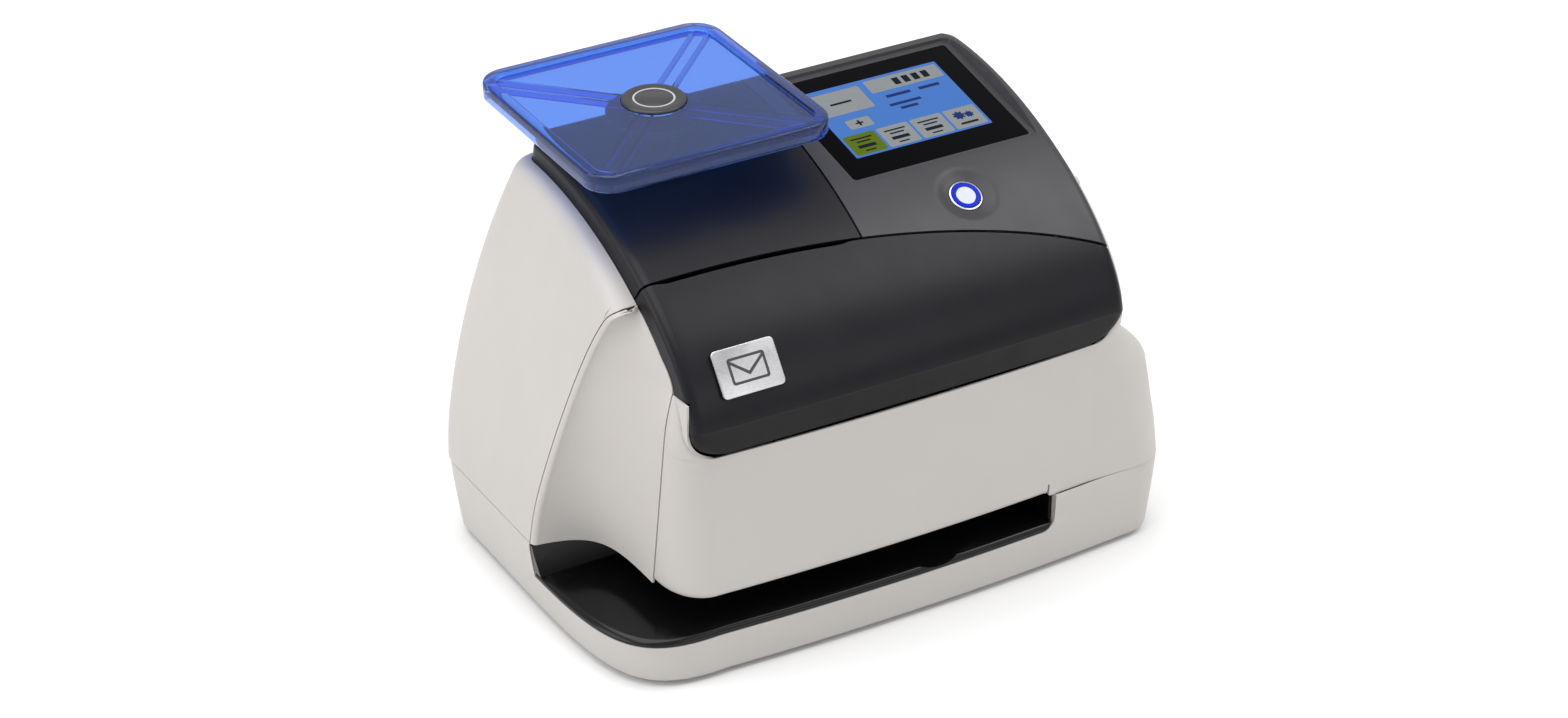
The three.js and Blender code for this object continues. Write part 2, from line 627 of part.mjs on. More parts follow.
// Columns across a cover: [part, share]. Its edges can be a stepped outer edge or a plain joint.
function coverColumns(left, right, joints) {
  const rises = EDGE_STEPS.map((_, i) => i);
  const middle = steps(0, 1, joints);
  return [
    ...(left ? rises.map((i) => ["left", i]) : []),
    ...middle.slice(left ? 1 : 0, right ? -1 : undefined).map((f) => ["middle", f]),
    ...(right ? rises.map((i) => ["right", i]).reverse() : []),
  ];
}

// Turns a column into x and depth, between the cover's own left and right limits.
function columnPlace([part, value], left, right) {
  if (part === "left") return [left + EDGE_STEPS[value][0], EDGE_STEPS[value][1]];
  if (part === "right") return [right - EDGE_STEPS[value][0], EDGE_STEPS[value][1]];
  return [mix(left, right, value), 0];
}

const seamT = (x, offset) => root((t) => ridge(t)[0] - topBulge(x, t) - flapSeam(x) - offset, 0, 1);

function flapSurface(column, v, margin) {
  const height = v < 0 ? (1 + v) * (RIDGE.v0.y - FLAP_EDGE.z) : FLAP_CORNER;
  const inset = roundOff(height, FLAP_CORNER) - margin;
  const [x, edgeDepth] = columnPlace(column, TOP_LEFT + inset, TOP_RIGHT - inset);
  const depth = edgeDepth === TOP_DEPTH ? TOP_DEPTH + margin : edgeDepth;
  const finger = FINGER_GAP * clamp((-x - 8) / 6, 0, 1) * clamp((x + 112) / 6, 0, 1);
  const t = v < 0 ? v : v * seamT(x, -SEAM_HALF - finger);
  return topPoint(x, t, depth);
}

// The covers' rows: v from 0 to 1 climbs the ridge, higher rows go down the rear wall.
const REAR_STEPS = [[0, 0], [1.4, 1.2], [2, 5], [2, TOP_DEPTH]];

function coverSurface(leftLimit, rightLimit) {
  return (column, v) => {
    const rear = Math.max(0, Math.round(v - 1));
    const roughT = v <= 1 ? mix(seamT(mix(leftLimit, rightLimit, 0.5), SEAM_HALF), 1, v) : 1;
    const y = v <= 1 ? ridge(roughT)[0] : RIDGE.v3.x + REAR_STEPS[rear][0];
    const inset = roundOff(TOP_REAR - y, REAR_CORNER);
    const left = leftLimit === TOP_LEFT ? leftLimit + inset : leftLimit;
    const right = rightLimit === TOP_RIGHT ? rightLimit - inset : rightLimit;
    const [x, depth] = columnPlace(column, left, right);
    if (v > 1) return [x, y, TOP - Math.max(depth, REAR_STEPS[rear][1])];
    return topPoint(x, mix(seamT(x, SEAM_HALF), 1, v), depth);
  };
}

function coverSheet(leftLimit, rightLimit, joints, thickness) {
  const columns = coverColumns(leftLimit === TOP_LEFT, rightLimit === TOP_RIGHT, joints);
  const rows = [...steps(0, 1, 10), 2, 3, 4];
  return sheet(columns, rows, coverSurface(leftLimit, rightLimit), thickness);
}

// The flap's sheet, or with a margin and more thickness the space that its neighbours leave for it.
function flapSheet(margin = 0, thickness = WALL) {
  const bevel = RIDGE.v0.y - FLAP_EDGE.z;
  const rows = [...FLAP_STEPS.map((rise) => rise / bevel - 1), 0.02, ...steps(0.1, 1, 7)];
  return sheet(coverColumns(true, true, 8), rows, (u, v) => flapSurface(u, v, margin), thickness);
}

function makeFlap() {
  // The left edge is shallow where it swings past the front casing's corner.
  let flap = flapSheet().subtract(block([TOP_LEFT - 1, -96, 100], [-113, -60, JOINT_TOP + GAP]));
  for (const side of [-1, 1]) flap = flap.add(hingeArm(side * HINGE_X));
  add("front_flap", flap, DARK);
  const place = topFrame(BADGE.x, BADGE.t);
  const [halfWide, halfHigh] = [BADGE.width / 2, BADGE.height / 2];
  const outline = roundedRectangle(-halfWide, -halfHigh, halfWide, halfHigh, 2.5);
  add("badge", plate(outline, GAP + 0.25, GAP + 1.6).transform(place), SILVER);
}

// Gooseneck arm: from a boss on the axis back, up and forward over the casing's edge to the flap.
const HINGE_X = 60;
function hingeArm(x) {
  const { y, z } = FLAP_AXIS;
  const arm = [[y, z - 3], [y + 18, z - 3], [y + 18, z + 23], [y - 6, z + 23], [y - 6, z + 18],
    [y + 14, z + 18], [y + 14, z + 3], [y, z + 3]];
  return sidePlate(arm, x - 2, x + 2)
    .add(bar([x - 2, y, z], [x + 2, y, z], 3))
    .subtract(bar([x - 5, y, z], [x + 5, y, z], 1.9));
}

function makeHingePins() {
  const { y, z } = FLAP_AXIS;
  add("flap_hinge_pin_left", bar([-HINGE_X - 7, y, z], [-HINGE_X + 7, y, z], 1.5, 12), STEEL);
  add("flap_hinge_pin_right", bar([HINGE_X - 7, y, z], [HINGE_X + 7, y, z], 1.5, 12), STEEL);
}

// A frame on the dark top: x across, y up the slope, z out of the surface.
function topFrame(x, t) {
  const origin = topPoint(x, t, 0);
  const slope = RIDGE.getTangent(t);
  return [1, 0, 0, 0, 0, slope.x, slope.y, 0, 0, -slope.y, slope.x, 0, ...origin, 1];
}

function makeScaleCover() {
  const cover = coverSheet(TOP_LEFT, COVER_SPLIT - SEAM_HALF, 8, WALL);
  const opening = bar([PLATTER.x, PLATTER.y, 200], [PLATTER.x, PLATTER.y, 240], POST_RADIUS + 3, 20);
  add("scale_cover", cover.subtract(opening), DARK);
}

// The display lies in a plane of its own: x across from its middle, y back from its front edge.
function displayFrame() {
  const c = Math.cos(DISPLAY.tilt);
  const s = Math.sin(DISPLAY.tilt);
  return [1, 0, 0, 0, 0, c, s, 0, 0, -s, c, 0, DISPLAY.x, DISPLAY.y, DISPLAY.z, 1];
}

function displayPrism(margin, low, high, radius) {
  const half = DISPLAY.width / 2 + margin;
  const outline = roundedRectangle(-half, -margin, half, DISPLAY.depth + margin, radius);
  return plate(outline, low, high).transform(displayFrame());
}

function buttonFrame() {
  return topFrame(BUTTON.x, root((t) => ridge(t)[0] - topBulge(BUTTON.x, t) - BUTTON.y, 0, 1));
}

const buttonBar = (low, high, radius, sides = 24) => (
  bar([0, 0, low], [0, 0, high], radius, sides).transform(buttonFrame())
);

function makeControlPanel() {
  const thin = coverSheet(COVER_SPLIT + SEAM_HALF, TOP_RIGHT, 9, WALL);
  const thick = coverSheet(COVER_SPLIT + SEAM_HALF, TOP_RIGHT, 9, 9);
  const { margin } = DISPLAY;
  let panel = thin.add(thick.intersect(displayPrism(margin + 2, -3.5, 30, 5)));
  panel = panel.add(thick.intersect(buttonBar(-9, 10, BUTTON.dish + 2)));
  panel = panel.subtract(displayPrism(GAP, -2.1 - GAP, 2, 2)).subtract(displayPrism(margin, 0.4, 30, 4));
  panel = panel.subtract(displayPrism(-5, -20, 5, 1));
  const sphereRadius = 38;
  const dishDepth = 3.2;
  const sphere = solid(new THREE.SphereGeometry(sphereRadius, 32, 20));
  const dish = sphere.translate([0, 0, sphereRadius - dishDepth]);
  panel = panel.subtract(dish.transform(buttonFrame()));
  panel = panel.subtract(buttonBar(-20, 5, BUTTON.radius + GAP));
  add("control_panel", panel, PANEL);
}

function makeDisplay() {
  add("display_glass", displayPrism(0, -2.1, 0, 1.7), GLOSS_BLACK);
  const half = SCREEN.width / 2 + 3;
  const module = roundedRectangle(SCREEN.x - DISPLAY.x - half, SCREEN.front - 4, SCREEN.x - DISPLAY.x + half,
    SCREEN.front + SCREEN.depth + 4, 1);
  add("display_module", plate(module, -8.4, -2.4).transform(displayFrame()), INNER_GREY);
  const route = new THREE.CatmullRomCurve3([
    [70, 76.3, 140], [70, 72, 150], [70, 60, 175], [70, 40, 190], [70, 26, 201], [70, 22, 205.5],
  ].map((p) => new THREE.Vector3(...p)));
  const section = roundedRectangle(-10, -0.3, 10, 0.3, 0.1);
  const ribbon = new THREE.ExtrudeGeometry(section, { steps: 14, extrudePath: route, curveSegments: 1 });
  add("display_ribbon", solid(ribbon), RIBBON);
}

function makeStartButton() {
  const { radius, travel } = BUTTON;
  const ringInner = 5.2;
  const ringOuter = radius - 1.1;
  const rim = buttonBar(-7, -1.9, radius).subtract(buttonBar(-9, 0, ringOuter + GAP));
  add("button_rim", rim, SILVER);
  const base = -8;
  const ring = buttonBar(base, -1.3, ringOuter).subtract(buttonBar(base + 1.5, 0, ringInner + GAP));
  add("button_ring", ring, BLUE);
  add("start_button", buttonBar(base + 1.5 + GAP, -1, ringInner), LIGHT);
  add("start_switch", buttonBar(base - travel - GAP - 3, base - travel - GAP, 3, 12), INNER_GREY);
}

// ---------------------------------------------------------------- scale
function makeScale() {
  const { x, y, z, width, depth, height, corner } = PLATTER;
  const outline = (margin, radius) => roundedRectangle(x - width / 2 + margin, y - depth / 2 + margin,
    x + width / 2 - margin, y + depth / 2 - margin, radius);
  const rim = 6;
  let platter = plate(outline(1, corner - 1), z, z + 1.2);
  platter = platter.add(plate(outline(0, corner), z + 1, z + height - 1));
  platter = platter.add(plate(outline(1, corner - 1), z + height - 1.2, z + height));
  platter = platter.subtract(plate(outline(rim, corner - rim), z + 7.2, z + height + 1));
  platter = platter.subtract(plate(outline(2.5, corner - 2.5), z - 1, z + 3.5));
  const ribTop = z + 4;
  for (const side of [-1, 1]) {
    for (const offset of [-4, 4]) {
      const reach = 80;
      const rib = block([-reach, offset - 0.8, z], [reach, offset + 0.8, ribTop]);
      const angle = (side * Math.atan2(depth, width) * 180) / Math.PI;
      const placed = rib.rotate([0, 0, angle]).translate([x, y, 0]);
      platter = platter.add(placed.intersect(plate(outline(2, corner - 2), z, ribTop)));
    }
  }
  platter = platter.subtract(bar([x, y, z - 2], [x, y, z + height + 2], CAP_RADIUS - 2 + GAP, 24));
  platter = platter.subtract(bar([x, y, z + 5.2], [x, y, z + height + 2], CAP_RADIUS + GAP, 24));
  add("weighing_platter", platter, BLUE);
  const cap = bar([x, y, z + 5.5], [x, y, z + height - 0.4], CAP_RADIUS, 24)
    .add(bar([x, y, z + 2.3], [x, y, z + 6], 11, 16));
  add("platter_cap", cap, RUBBER);
  const hub = bar([x, y, 207.1], [x, y, z + 2], POST_RADIUS, 20)
    .add(bar([x, y, z - 5], [x, y, z + 1.2], CAP_RADIUS - 2 - GAP, 20))
    .add(bar([x, y, z - 4], [x, y, z - GAP], 24, 20));
  add("platter_hub", hub, RUBBER);
  add("load_cell", block([x - 6.3, y - 12, 194], [x + 6.3, y + 34, 206])
    .subtract(bar([x - 10, y + 6, 200], [x + 10, y + 6, 200], 4.2, 12))
    .subtract(bar([x - 10, y + 16, 200], [x + 10, y + 16, 200], 4.2, 12)), SILVER);
  const bracket = block([x - 20, y + 34, CHASSIS_TOP + GAP], [x + 20, y + 36, 191])
    .add(block([x - 20, y - 14, 189], [x + 20, y + 36, 191]))
    .add(block([x - 6, y + 24, 190], [x + 6, y + 36, 193.7]))
    .add(block([x - 20, y + 22, CHASSIS_TOP + GAP], [x + 20, y + 36, CHASSIS_TOP + 2]));
  add("load_cell_bracket", bracket, STEEL);
}

// ---------------------------------------------------------------- print mechanism
function makeChassis() {
  const outline = [[-112, -84], [112, -84], [148, -62], [148, 88], [-148, 88], [-148, -2], [-119, -14]];
  let chassis = plate(outline, CHASSIS_Z, CHASSIS_TOP);
  chassis = chassis.subtract(block([-100, -62, 40], [82, -40, 60]));
  chassis = chassis.subtract(block([91, -70, 40], [130, -34, 60]));
  add("chassis_plate", chassis, STEEL);
  const side = [[-86, CHASSIS_TOP + GAP], [-1, CHASSIS_TOP + GAP], [-1, 84], [-18, 96], [-86, 96]];
  const sideFrame = (x) => {
    let frame = sidePlate(side, x - 1, x + 1);
    frame = frame.subtract(bar([x - 3, ROD.front, ROD.z], [x + 3, ROD.front, ROD.z], ROD.radius + GAP));
    return frame.subtract(bar([x - 3, ROD.rear, ROD.z], [x + 3, ROD.rear, ROD.z], ROD.radius + GAP));
  };
  add("carriage_frame_left", sideFrame(FRAME_LEFT), STEEL);
  add("carriage_frame_right", sideFrame(FRAME_RIGHT), STEEL);
  for (const [name, y] of [["guide_rod_front", ROD.front], ["guide_rod_rear", ROD.rear]]) {
    add(name, bar([FRAME_LEFT - 2, y, ROD.z], [FRAME_RIGHT + 2, y, ROD.z], ROD.radius, 16), STEEL);
  }
  add("encoder_strip", block([FRAME_LEFT + 1 + GAP, -86, 84], [FRAME_RIGHT - 1 - GAP, -85.4, 90]), LIGHT);
}

function makeCarriage() {
  const half = 21.5;
  let carriage = block([PARK_X - half, -84, CHASSIS_TOP + 1.5], [PARK_X + half, -20, 80]);
  carriage = carriage.add(block([PARK_X - half, -24, 70], [PARK_X + half, -20, 104]));
  carriage = carriage.add(block([PARK_X - 18, -21, 68], [PARK_X - 6, -17.7, 79]));
  for (const y of [ROD.front, ROD.rear]) {
    const bore = bar([PARK_X - 30, y, ROD.z], [PARK_X + 30, y, ROD.z], ROD.radius + GAP + 0.1);
    carriage = carriage.subtract(bore);
  }
  carriage = carriage.subtract(block([PARK_X - 18.3, -70.3, 57.7], [PARK_X + 18.3, -34.7, 90]));
  carriage = carriage.subtract(block([PARK_X - 14, -66, 50], [PARK_X + 14, -40, 60]));
  add("print_carriage", carriage, INNER_GREY);
  const cartridge = block([PARK_X - 18, -70, 58], [PARK_X + 18, -35, 108])
    .add(block([PARK_X - 10, -74, 96], [PARK_X + 10, -69, 104]))
    .add(block([PARK_X - 13, -65, CHASSIS_TOP + 1.2], [PARK_X + 13, -41, 59]));
  add("ink_cartridge", cartridge, RUBBER);
  const axis = LATCH_AXIS;
  const latch = block([PARK_X - 14, -66, 108.6], [PARK_X + 14, axis.y, 111])
    .add(block([PARK_X - 14, axis.y - 4, 104.8], [PARK_X + 14, axis.y, 111]))
    .add(bar([PARK_X - 14, axis.y, axis.z], [PARK_X + 14, axis.y, axis.z], 3.4, 16))
    .subtract(bar([PARK_X - 20, axis.y, axis.z], [PARK_X + 20, axis.y, axis.z], 1.8, 12));
  add("cartridge_latch", latch, BLUE);
  add("latch_pin", bar([PARK_X - 19, axis.y, axis.z], [PARK_X + 19, axis.y, axis.z], 1.4, 12), STEEL);
}

const LATCH_AXIS = { y: -24, z: 108 };

function makeDrive() {
  const { y, z, radius, left, right } = BELT;
  const loop = (r) => {
    const shape = new THREE.Shape();
    shape.absarc(left, y, r, Math.PI / 2, Math.PI * 1.5);
    shape.absarc(right, y, r, -Math.PI / 2, Math.PI / 2);
    return shape;
  };
  const belt = plate(loop(radius + GAP + 1.2), z - 2.5, z + 2.5)
    .subtract(plate(loop(radius + GAP), z - 4, z + 4));
  add("carriage_belt", belt, RUBBER);
  const pulley = (x) => bar([x, y, z - 2.5], [x, y, z + 3], radius, 20)
    .add(bar([x, y, z + 2.9], [x, y, z + 4], radius + 1.2, 20))
    .subtract(bar([x, y, z - 10], [x, y, z + 10], 1.9, 12));
  add("motor_pulley", pulley(right), SILVER);
  add("idler_pulley", pulley(left), INNER_GREY);
  add("idler_axle", bar([left, y, CHASSIS_TOP + GAP], [left, y, z + 6], 1.5, 12), STEEL);
  const motor = bar([right, y, z - 18], [right, y, z - 4], 9.5, 20)
    .add(bar([right, y, z - 5], [right, y, z + 4], 1.5, 12));
  add("carriage_motor", motor, STEEL);
}

function makeServiceStation() {
  const tray = block([94, -80, 12], [144, -16, 42]).subtract(block([96, -78, 14], [142, -18, 60]));
  const post = block([93.2, -66, 40], [95.6, -38, 46]);
  add("service_tray", tray.add(post), INNER_GREY);
  add("waste_ink_pad", block([96.5, -77.5, 14.3], [141.5, -18.5, 24]), FOAM);
  const cradle = block([99, -67, 40], [124, -38, 50]).subtract(block([101, -65, 42], [122, -40, 60]));
  add("capping_cradle", cradle, INNER_GREY);
  const seal = plate(roundedRectangle(100, -66, 123, -39, 3), 50.3, CHASSIS_TOP + 0.9)
    .subtract(block([102, -64, 40], [121, -41, 60]));
  add("cap_seal", seal, RUBBER);
  add("wiper_blade", block([93.6, -64, 46.3], [95.2, -40, CHASSIS_TOP + 0.9]), RUBBER);
}

function makeLetterPath() {
  const outline = [[-114, -76], [-100, -84], [83, -86], [83, -10], [-145, -10], [-130, -17], [-116, -28]];
  let guide = plate(outline, 46.5, 48.5);
  guide = guide.subtract(block([-98, -60, 40], [80, -42, 60])).subtract(block([35, -26, 40], [45, -12, 60]));
  add("letter_guide", guide, INNER_GREY);
  const pressure = block([-95, -71.5, 26.5], [75, -30.5, 29.8]).add(block([-90, -66, 24], [70, -36, 27]));
  add("pressure_plate", pressure, INNER_GREY);
  for (const [name, x] of [["pressure_spring_left", -60], ["pressure_spring_right", 40]]) {
    add(name, coilSpring(x, -51, 7.6, 23.4), STEEL);
  }
  const lever = block([38, -21.2, 32], [42, -18.8, 50]).add(bar([37, -20, 50.2], [43, -20, 50.2], 1.5, 12));
  add("sensor_lever", lever.subtract(bar([30, -20, 50.2], [50, -20, 50.2], 0.9, 10)), RUBBER);
  add("sensor_pin", bar([33, -20, 50.2], [47, -20, 50.2], 0.6, 10), STEEL);
}

function coilSpring(x, y, low, high) {
  const turns = 4;
  const points = steps(0, 1, turns * 8).map((f) => {
    const angle = f * turns * 2 * Math.PI;
    return new THREE.Vector3(x + 6 * Math.cos(angle), y + 6 * Math.sin(angle), mix(low + 0.7, high - 0.7, f));
  });
  const wire = new THREE.Shape().absarc(0, 0, 0.6, 0, 2 * Math.PI);
  const path = new THREE.CatmullRomCurve3(points);
  return solid(new THREE.ExtrudeGeometry(wire, { steps: turns * 10, extrudePath: path, curveSegments: 4 }));
}

// ---------------------------------------------------------------- electrics
function makeElectrics() {
  add("main_board", block([-120, 78, 56], [90, 79.6, 150]), BOARD);
  add("power_supply", block([-140, 12, CHASSIS_TOP + GAP], [-92, 66, 88]), INNER_GREY);
  const socket = block([100, 88, 60], [128, 99.5, 82]).subtract(block([102, 92, 62], [126, 110, 80]));
  add("power_inlet", socket, RUBBER);
  const port = block([58, 90, 62], [76, 99.5, 76]).subtract(block([59.5, 93, 63.5], [74.5, 110, 74.5]));
  add("data_port", port, STEEL);
}

makeBase();
makeFeetAndScrews();
makeDeck();
makeRearShell();
makeScoop();
makeFrontCasing();
makeFlap();
makeHingePins();
makeScaleCover();
makeControlPanel();
makeDisplay();
makeStartButton();
makeScale();
makeChassis();
makeCarriage();
makeDrive();
makeServiceStation();
makeLetterPath();
makeElectrics();

// The origin goes to the middle of the machine's footprint.
const middle = new THREE.Box3().setFromObject(machine).getCenter(new THREE.Vector3());
for (const mesh of machine.children) mesh.geometry.translate(-middle.x, -middle.y, 0);

export default machine;
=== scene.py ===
"""Looks of the desktop franking machine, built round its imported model.

Lengths are in millimetres in the shapes' own functions and become metres in place(). As in the
CAD source, the drawing's y is measured from a line near the middle; DRAWING_Y moves it to the frame.
"""
from functools import lru_cache
from math import atan, atan2, cos, hypot, pi, radians, sin, sqrt

import bmesh
import bpy
import numpy as np
from mathutils import Matrix, Vector


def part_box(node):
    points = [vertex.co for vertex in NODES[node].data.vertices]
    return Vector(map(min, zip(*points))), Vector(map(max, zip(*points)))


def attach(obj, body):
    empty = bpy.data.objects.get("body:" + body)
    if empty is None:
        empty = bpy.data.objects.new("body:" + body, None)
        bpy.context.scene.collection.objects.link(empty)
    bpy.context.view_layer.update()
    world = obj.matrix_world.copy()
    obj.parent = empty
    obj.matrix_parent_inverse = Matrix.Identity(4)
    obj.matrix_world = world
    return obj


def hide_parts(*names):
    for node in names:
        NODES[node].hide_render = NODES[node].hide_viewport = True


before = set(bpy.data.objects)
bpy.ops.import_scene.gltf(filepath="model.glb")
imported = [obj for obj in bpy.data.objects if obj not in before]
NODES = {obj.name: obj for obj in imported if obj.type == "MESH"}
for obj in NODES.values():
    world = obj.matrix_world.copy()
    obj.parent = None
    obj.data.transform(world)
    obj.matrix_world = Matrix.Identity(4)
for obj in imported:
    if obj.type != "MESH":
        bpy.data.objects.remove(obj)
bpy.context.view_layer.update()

MM = 0.001

# ---- driving dimensions, mm
GAP = 0.3
WALL = 1.6
THIN_WALL = 1.2
WELD = 0.02
HALF_WIDTH = 161
OUTSIDE = 165
BACK = 100
FRONT = 101.5
BASE_FRONT = 103
BULGE = 1 / 3400
CORNER = 21
TOP_CORNER = 11
BASE_BOTTOM = 3
SEAM = 45
LIP = 5
SIDE_LEAN = 0.22
SIDE_BEND = 66
SIDE_SOFTNESS = 18
REAR_KNEE = 90
REAR_DROP = 39
TOP = 227
SHOULDER = 8
RIDGE = ((-103, 143), (-95, 183), (-20, 229), (61, TOP))
TOP_LEFT = -119.5
TOP_RIGHT = 124.5
TOP_DEPTH = 10.5
TOP_REAR = 63
FLAP_EDGE = (-99.5, 127.2)
FLAP_CLEARANCE = 2.1
FLAP_CORNER = 16
REAR_CORNER = 7
COVER_SPLIT = -1.5
SEAM_HALF = 0.6
TOP_BULGE = 1.5
FINGER_GAP = 1.2
ARCH_Y, ARCH_LENGTH, ARCH_HEIGHT, ARCH_POWER = -7.8, 56, 150, 2.2
ARCH_END = -49.3
SCOOP_EDGE = -125
EDGE_ROUND = 3.5
EDGE_SHARE = 0.2
JOINT_TOP = 157
DECK_Z = 25
DECK_TOP = 28.5
DECK_RIGHT = 88
LIP_END = DECK_RIGHT - 4
DECK_BACK = -8
DISPLAY_ORIGIN = (62.5, -28, 209.5)
DISPLAY_TILT = atan(0.185)
DISPLAY_WIDTH, DISPLAY_DEPTH, DISPLAY_MARGIN = 101, 82, 4
SCREEN_X, SCREEN_FRONT, SCREEN_WIDTH, SCREEN_DEPTH = 61.7, 15.4, 78.6, 56.6
BUTTON_X, BUTTON_Y, BUTTON_RADIUS = 62.5, -50.5, 8.6
DISH_DEPTH, DISH_SPHERE, DISH_SOFTNESS = 3.2, 38, 0.25
BADGE_X, BADGE_T, BADGE_WIDTH, BADGE_HEIGHT = -85, 0.185, 33.5, 23.5
ENVELOPE = (10, 6.5)
PLATTER_X, PLATTER_Y, PLATTER_WIDTH, PLATTER_DEPTH = -64.5, 34, 131, 132
PLATTER_Z, PLATTER_HEIGHT, PLATTER_CORNER = 238.5, 9, 15
PLATTER_AXIS = Matrix.Translation((PLATTER_X, PLATTER_Y, 0))
CAP_RADIUS = 16
POST_RADIUS = 9
FLAP_AXIS = (-94.3, 113)
HINGE_X = 60
ARM_OUTLINE = ((-1, -3), (18, -3), (18, 23), (-6, 23), (-6, 18), (14, 18), (14, 3), (-1, 3))
FEET = "foot_front_left foot_front_right foot_rear_left foot_rear_right"
FOOT_RADIUS = 9
QUARTER = pi / 2
FLOOR_REACH = 6  # metres
LIT_POINT = Vector((0, 0, 0.12))  # metres
CAMERA_TARGET = (76.3, 152, 0)
CAMERA_TURN, CAMERA_RISE = radians(-30), radians(30.24)
CAMERA_DISTANCE = 2.160  # metres

DRAWING_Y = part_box("rear_shell")[1].y / MM - BACK


# ---- small helpers
def mix(a, b, t):
    return a + (b - a) * t


def clamp(value, low=0.0, high=1.0):
    return min(high, max(low, value))


def steps(start, end, count):
    return [mix(start, end, i / count) for i in range(count + 1)]


def chain(start, *legs):
    """Values from start on; each pair of legs is a number of steps and the value they reach."""
    values = [start]
    for count, end in zip(legs[::2], legs[1::2]):
        values += steps(start, end, count)[1:]
        start = end
    return values


def quarter(count):
    return steps(0, QUARTER, count)


def bezier(points, t):
    weights = ((1 - t) ** 3, 3 * (1 - t) ** 2 * t, 3 * (1 - t) * t * t, t ** 3)
    return [sum(w * p[k] for w, p in zip(weights, points)) for k in range(len(points[0]))]


def root(rising, low, high):
    """Where a rising function passes through zero, between low and high."""
    for _ in range(30):
        middle = (low + high) / 2
        if rising(middle) < 0:
            low = middle
        else:
            high = middle
    return (low + high) / 2


def arc_point(x, y, angle, radius):
    return x + radius * cos(angle), y + radius * sin(angle)


def arc(x, y, radius, start, end, count):
    """Points of an arc; start and end in quarter turns."""
    return [arc_point(x, y, a * QUARTER, radius) for a in steps(start, end, count)]


def rounded(x0, y0, x1, y1, radius, count=8):
    """A rectangle's outline with round corners, counterclockwise."""
    left, right, low, high = x0 + radius, x1 - radius, y0 + radius, y1 - radius
    return (arc(right, low, radius, -1, 0, count) + arc(right, high, radius, 0, 1, count)
            + arc(left, high, radius, 1, 2, count) + arc(left, low, radius, 2, 3, count))


def round_over(radius, height, size, count):
    """Profile points of an outer edge that is rounded up to its radius and height."""
    return [(radius - size * (1 - cos(a)), height - size * (1 - sin(a))) for a in quarter(count)]


def place(point):
    """A point of the drawing as a point of the frame."""
    return Vector((point[0], point[1] + DRAWING_Y, point[2])) * MM


def add_object(name, data):
    obj = bpy.data.objects.new(name, data)
    bpy.context.scene.collection.objects.link(obj)
    return obj


def piece(name, points, faces, matrix=None):
    """A mesh object from points in the drawing, or in a frame of its own given by a matrix."""
    if matrix is not None:
        points = [matrix @ Vector(p) for p in points]
    mesh = bpy.data.meshes.new(name)
    mesh.from_pydata([place(p) for p in points], [], faces)
    tidy = bmesh.new()
    tidy.from_mesh(mesh)
    bmesh.ops.delete(tidy, geom=[v for v in tidy.verts if not v.link_faces], context="VERTS")
    tidy.to_mesh(mesh)
    tidy.free()
    return add_object(name, mesh)


def skin(name, columns, rows, surface, thickness=WALL, keep=None):
    """A closed sheet of even thickness below surface(u, v)."""
    width = len(columns)
    outer = [Vector(surface(u, v)) for v in rows for u in columns]
    cells = [(j * width + i, j * width + i + 1, (j + 1) * width + i + 1, (j + 1) * width + i)
             for j in range(len(rows) - 1) for i in range(width - 1) if keep is None or keep(i, j)]
    normals = [Vector() for _ in outer]
    for cell in cells:
        a, b, c, d = (outer[k] for k in cell)
        normal = (c - a).cross(d - b).normalized()
        for k in cell:
            normals[k] += normal
    inner = [p - n.normalized() * thickness for p, n in zip(outer, normals)]
    total = len(outer)
    faces = list(cells)
    border = set()
    for cell in cells:
        faces.append(tuple(k + total for k in reversed(cell)))
        for a, b in zip(cell, cell[1:] + cell[:1]):
            if (b, a) in border:
                border.remove((b, a))
            else:
                border.add((a, b))
    faces += [(b, a, a + total, b + total) for a, b in sorted(border)]
    return piece(name, outer + inner, faces)


def wall_faces(base, count):
    """Faces between the ring of points that starts at base and the next one."""
    return [(base + i, base + (i + 1) % count, base + count + (i + 1) % count, base + count + i)
            for i in range(count)]


def loft(name, rings, matrix=None):
    """A solid through a stack of equal rings that run counterclockwise seen from their last one."""
    count = len(rings[0])
    faces = [tuple(reversed(range(count)))]
    for level in range(len(rings) - 1):
        faces += wall_faces(level * count, count)
    faces.append(tuple(range((len(rings) - 1) * count, len(rings) * count)))
    return piece(name, [p for ring in rings for p in ring], faces, matrix)


def stack(name, levels, matrix=None):
    """A solid through flat outlines, each given with its height."""
    return loft(name, [[(x, y, z) for x, y in outline] for outline, z in levels], matrix)


def prism(name, outline, low, high, matrix=None, round_top=0.0):
    """An outline raised from low to high, with its upper edge rounded if asked."""
    edge = round_over(0, high, round_top, 5) if round_top else [(0, high)]
    return stack(name, [(outline, low)] + [(shrink(outline, -x), z) for x, z in edge], matrix)


def move_left(point, before, after, distance):
    """A point of a line moved to the left of the way from the one before it to the one after."""
    (x, y), (ax, ay), (bx, by) = point, before, after
    length = hypot(bx - ax, by - ay)
    return x - (by - ay) / length * distance, y + (bx - ax) / length * distance


def shrink(outline, inset):
    """A smooth convex outline moved inwards."""
    if inset == 0:
        return outline
    following = outline[1:] + outline[:1]
    return [move_left(point, outline[i - 1], following[i], inset) for i, point in enumerate(outline)]


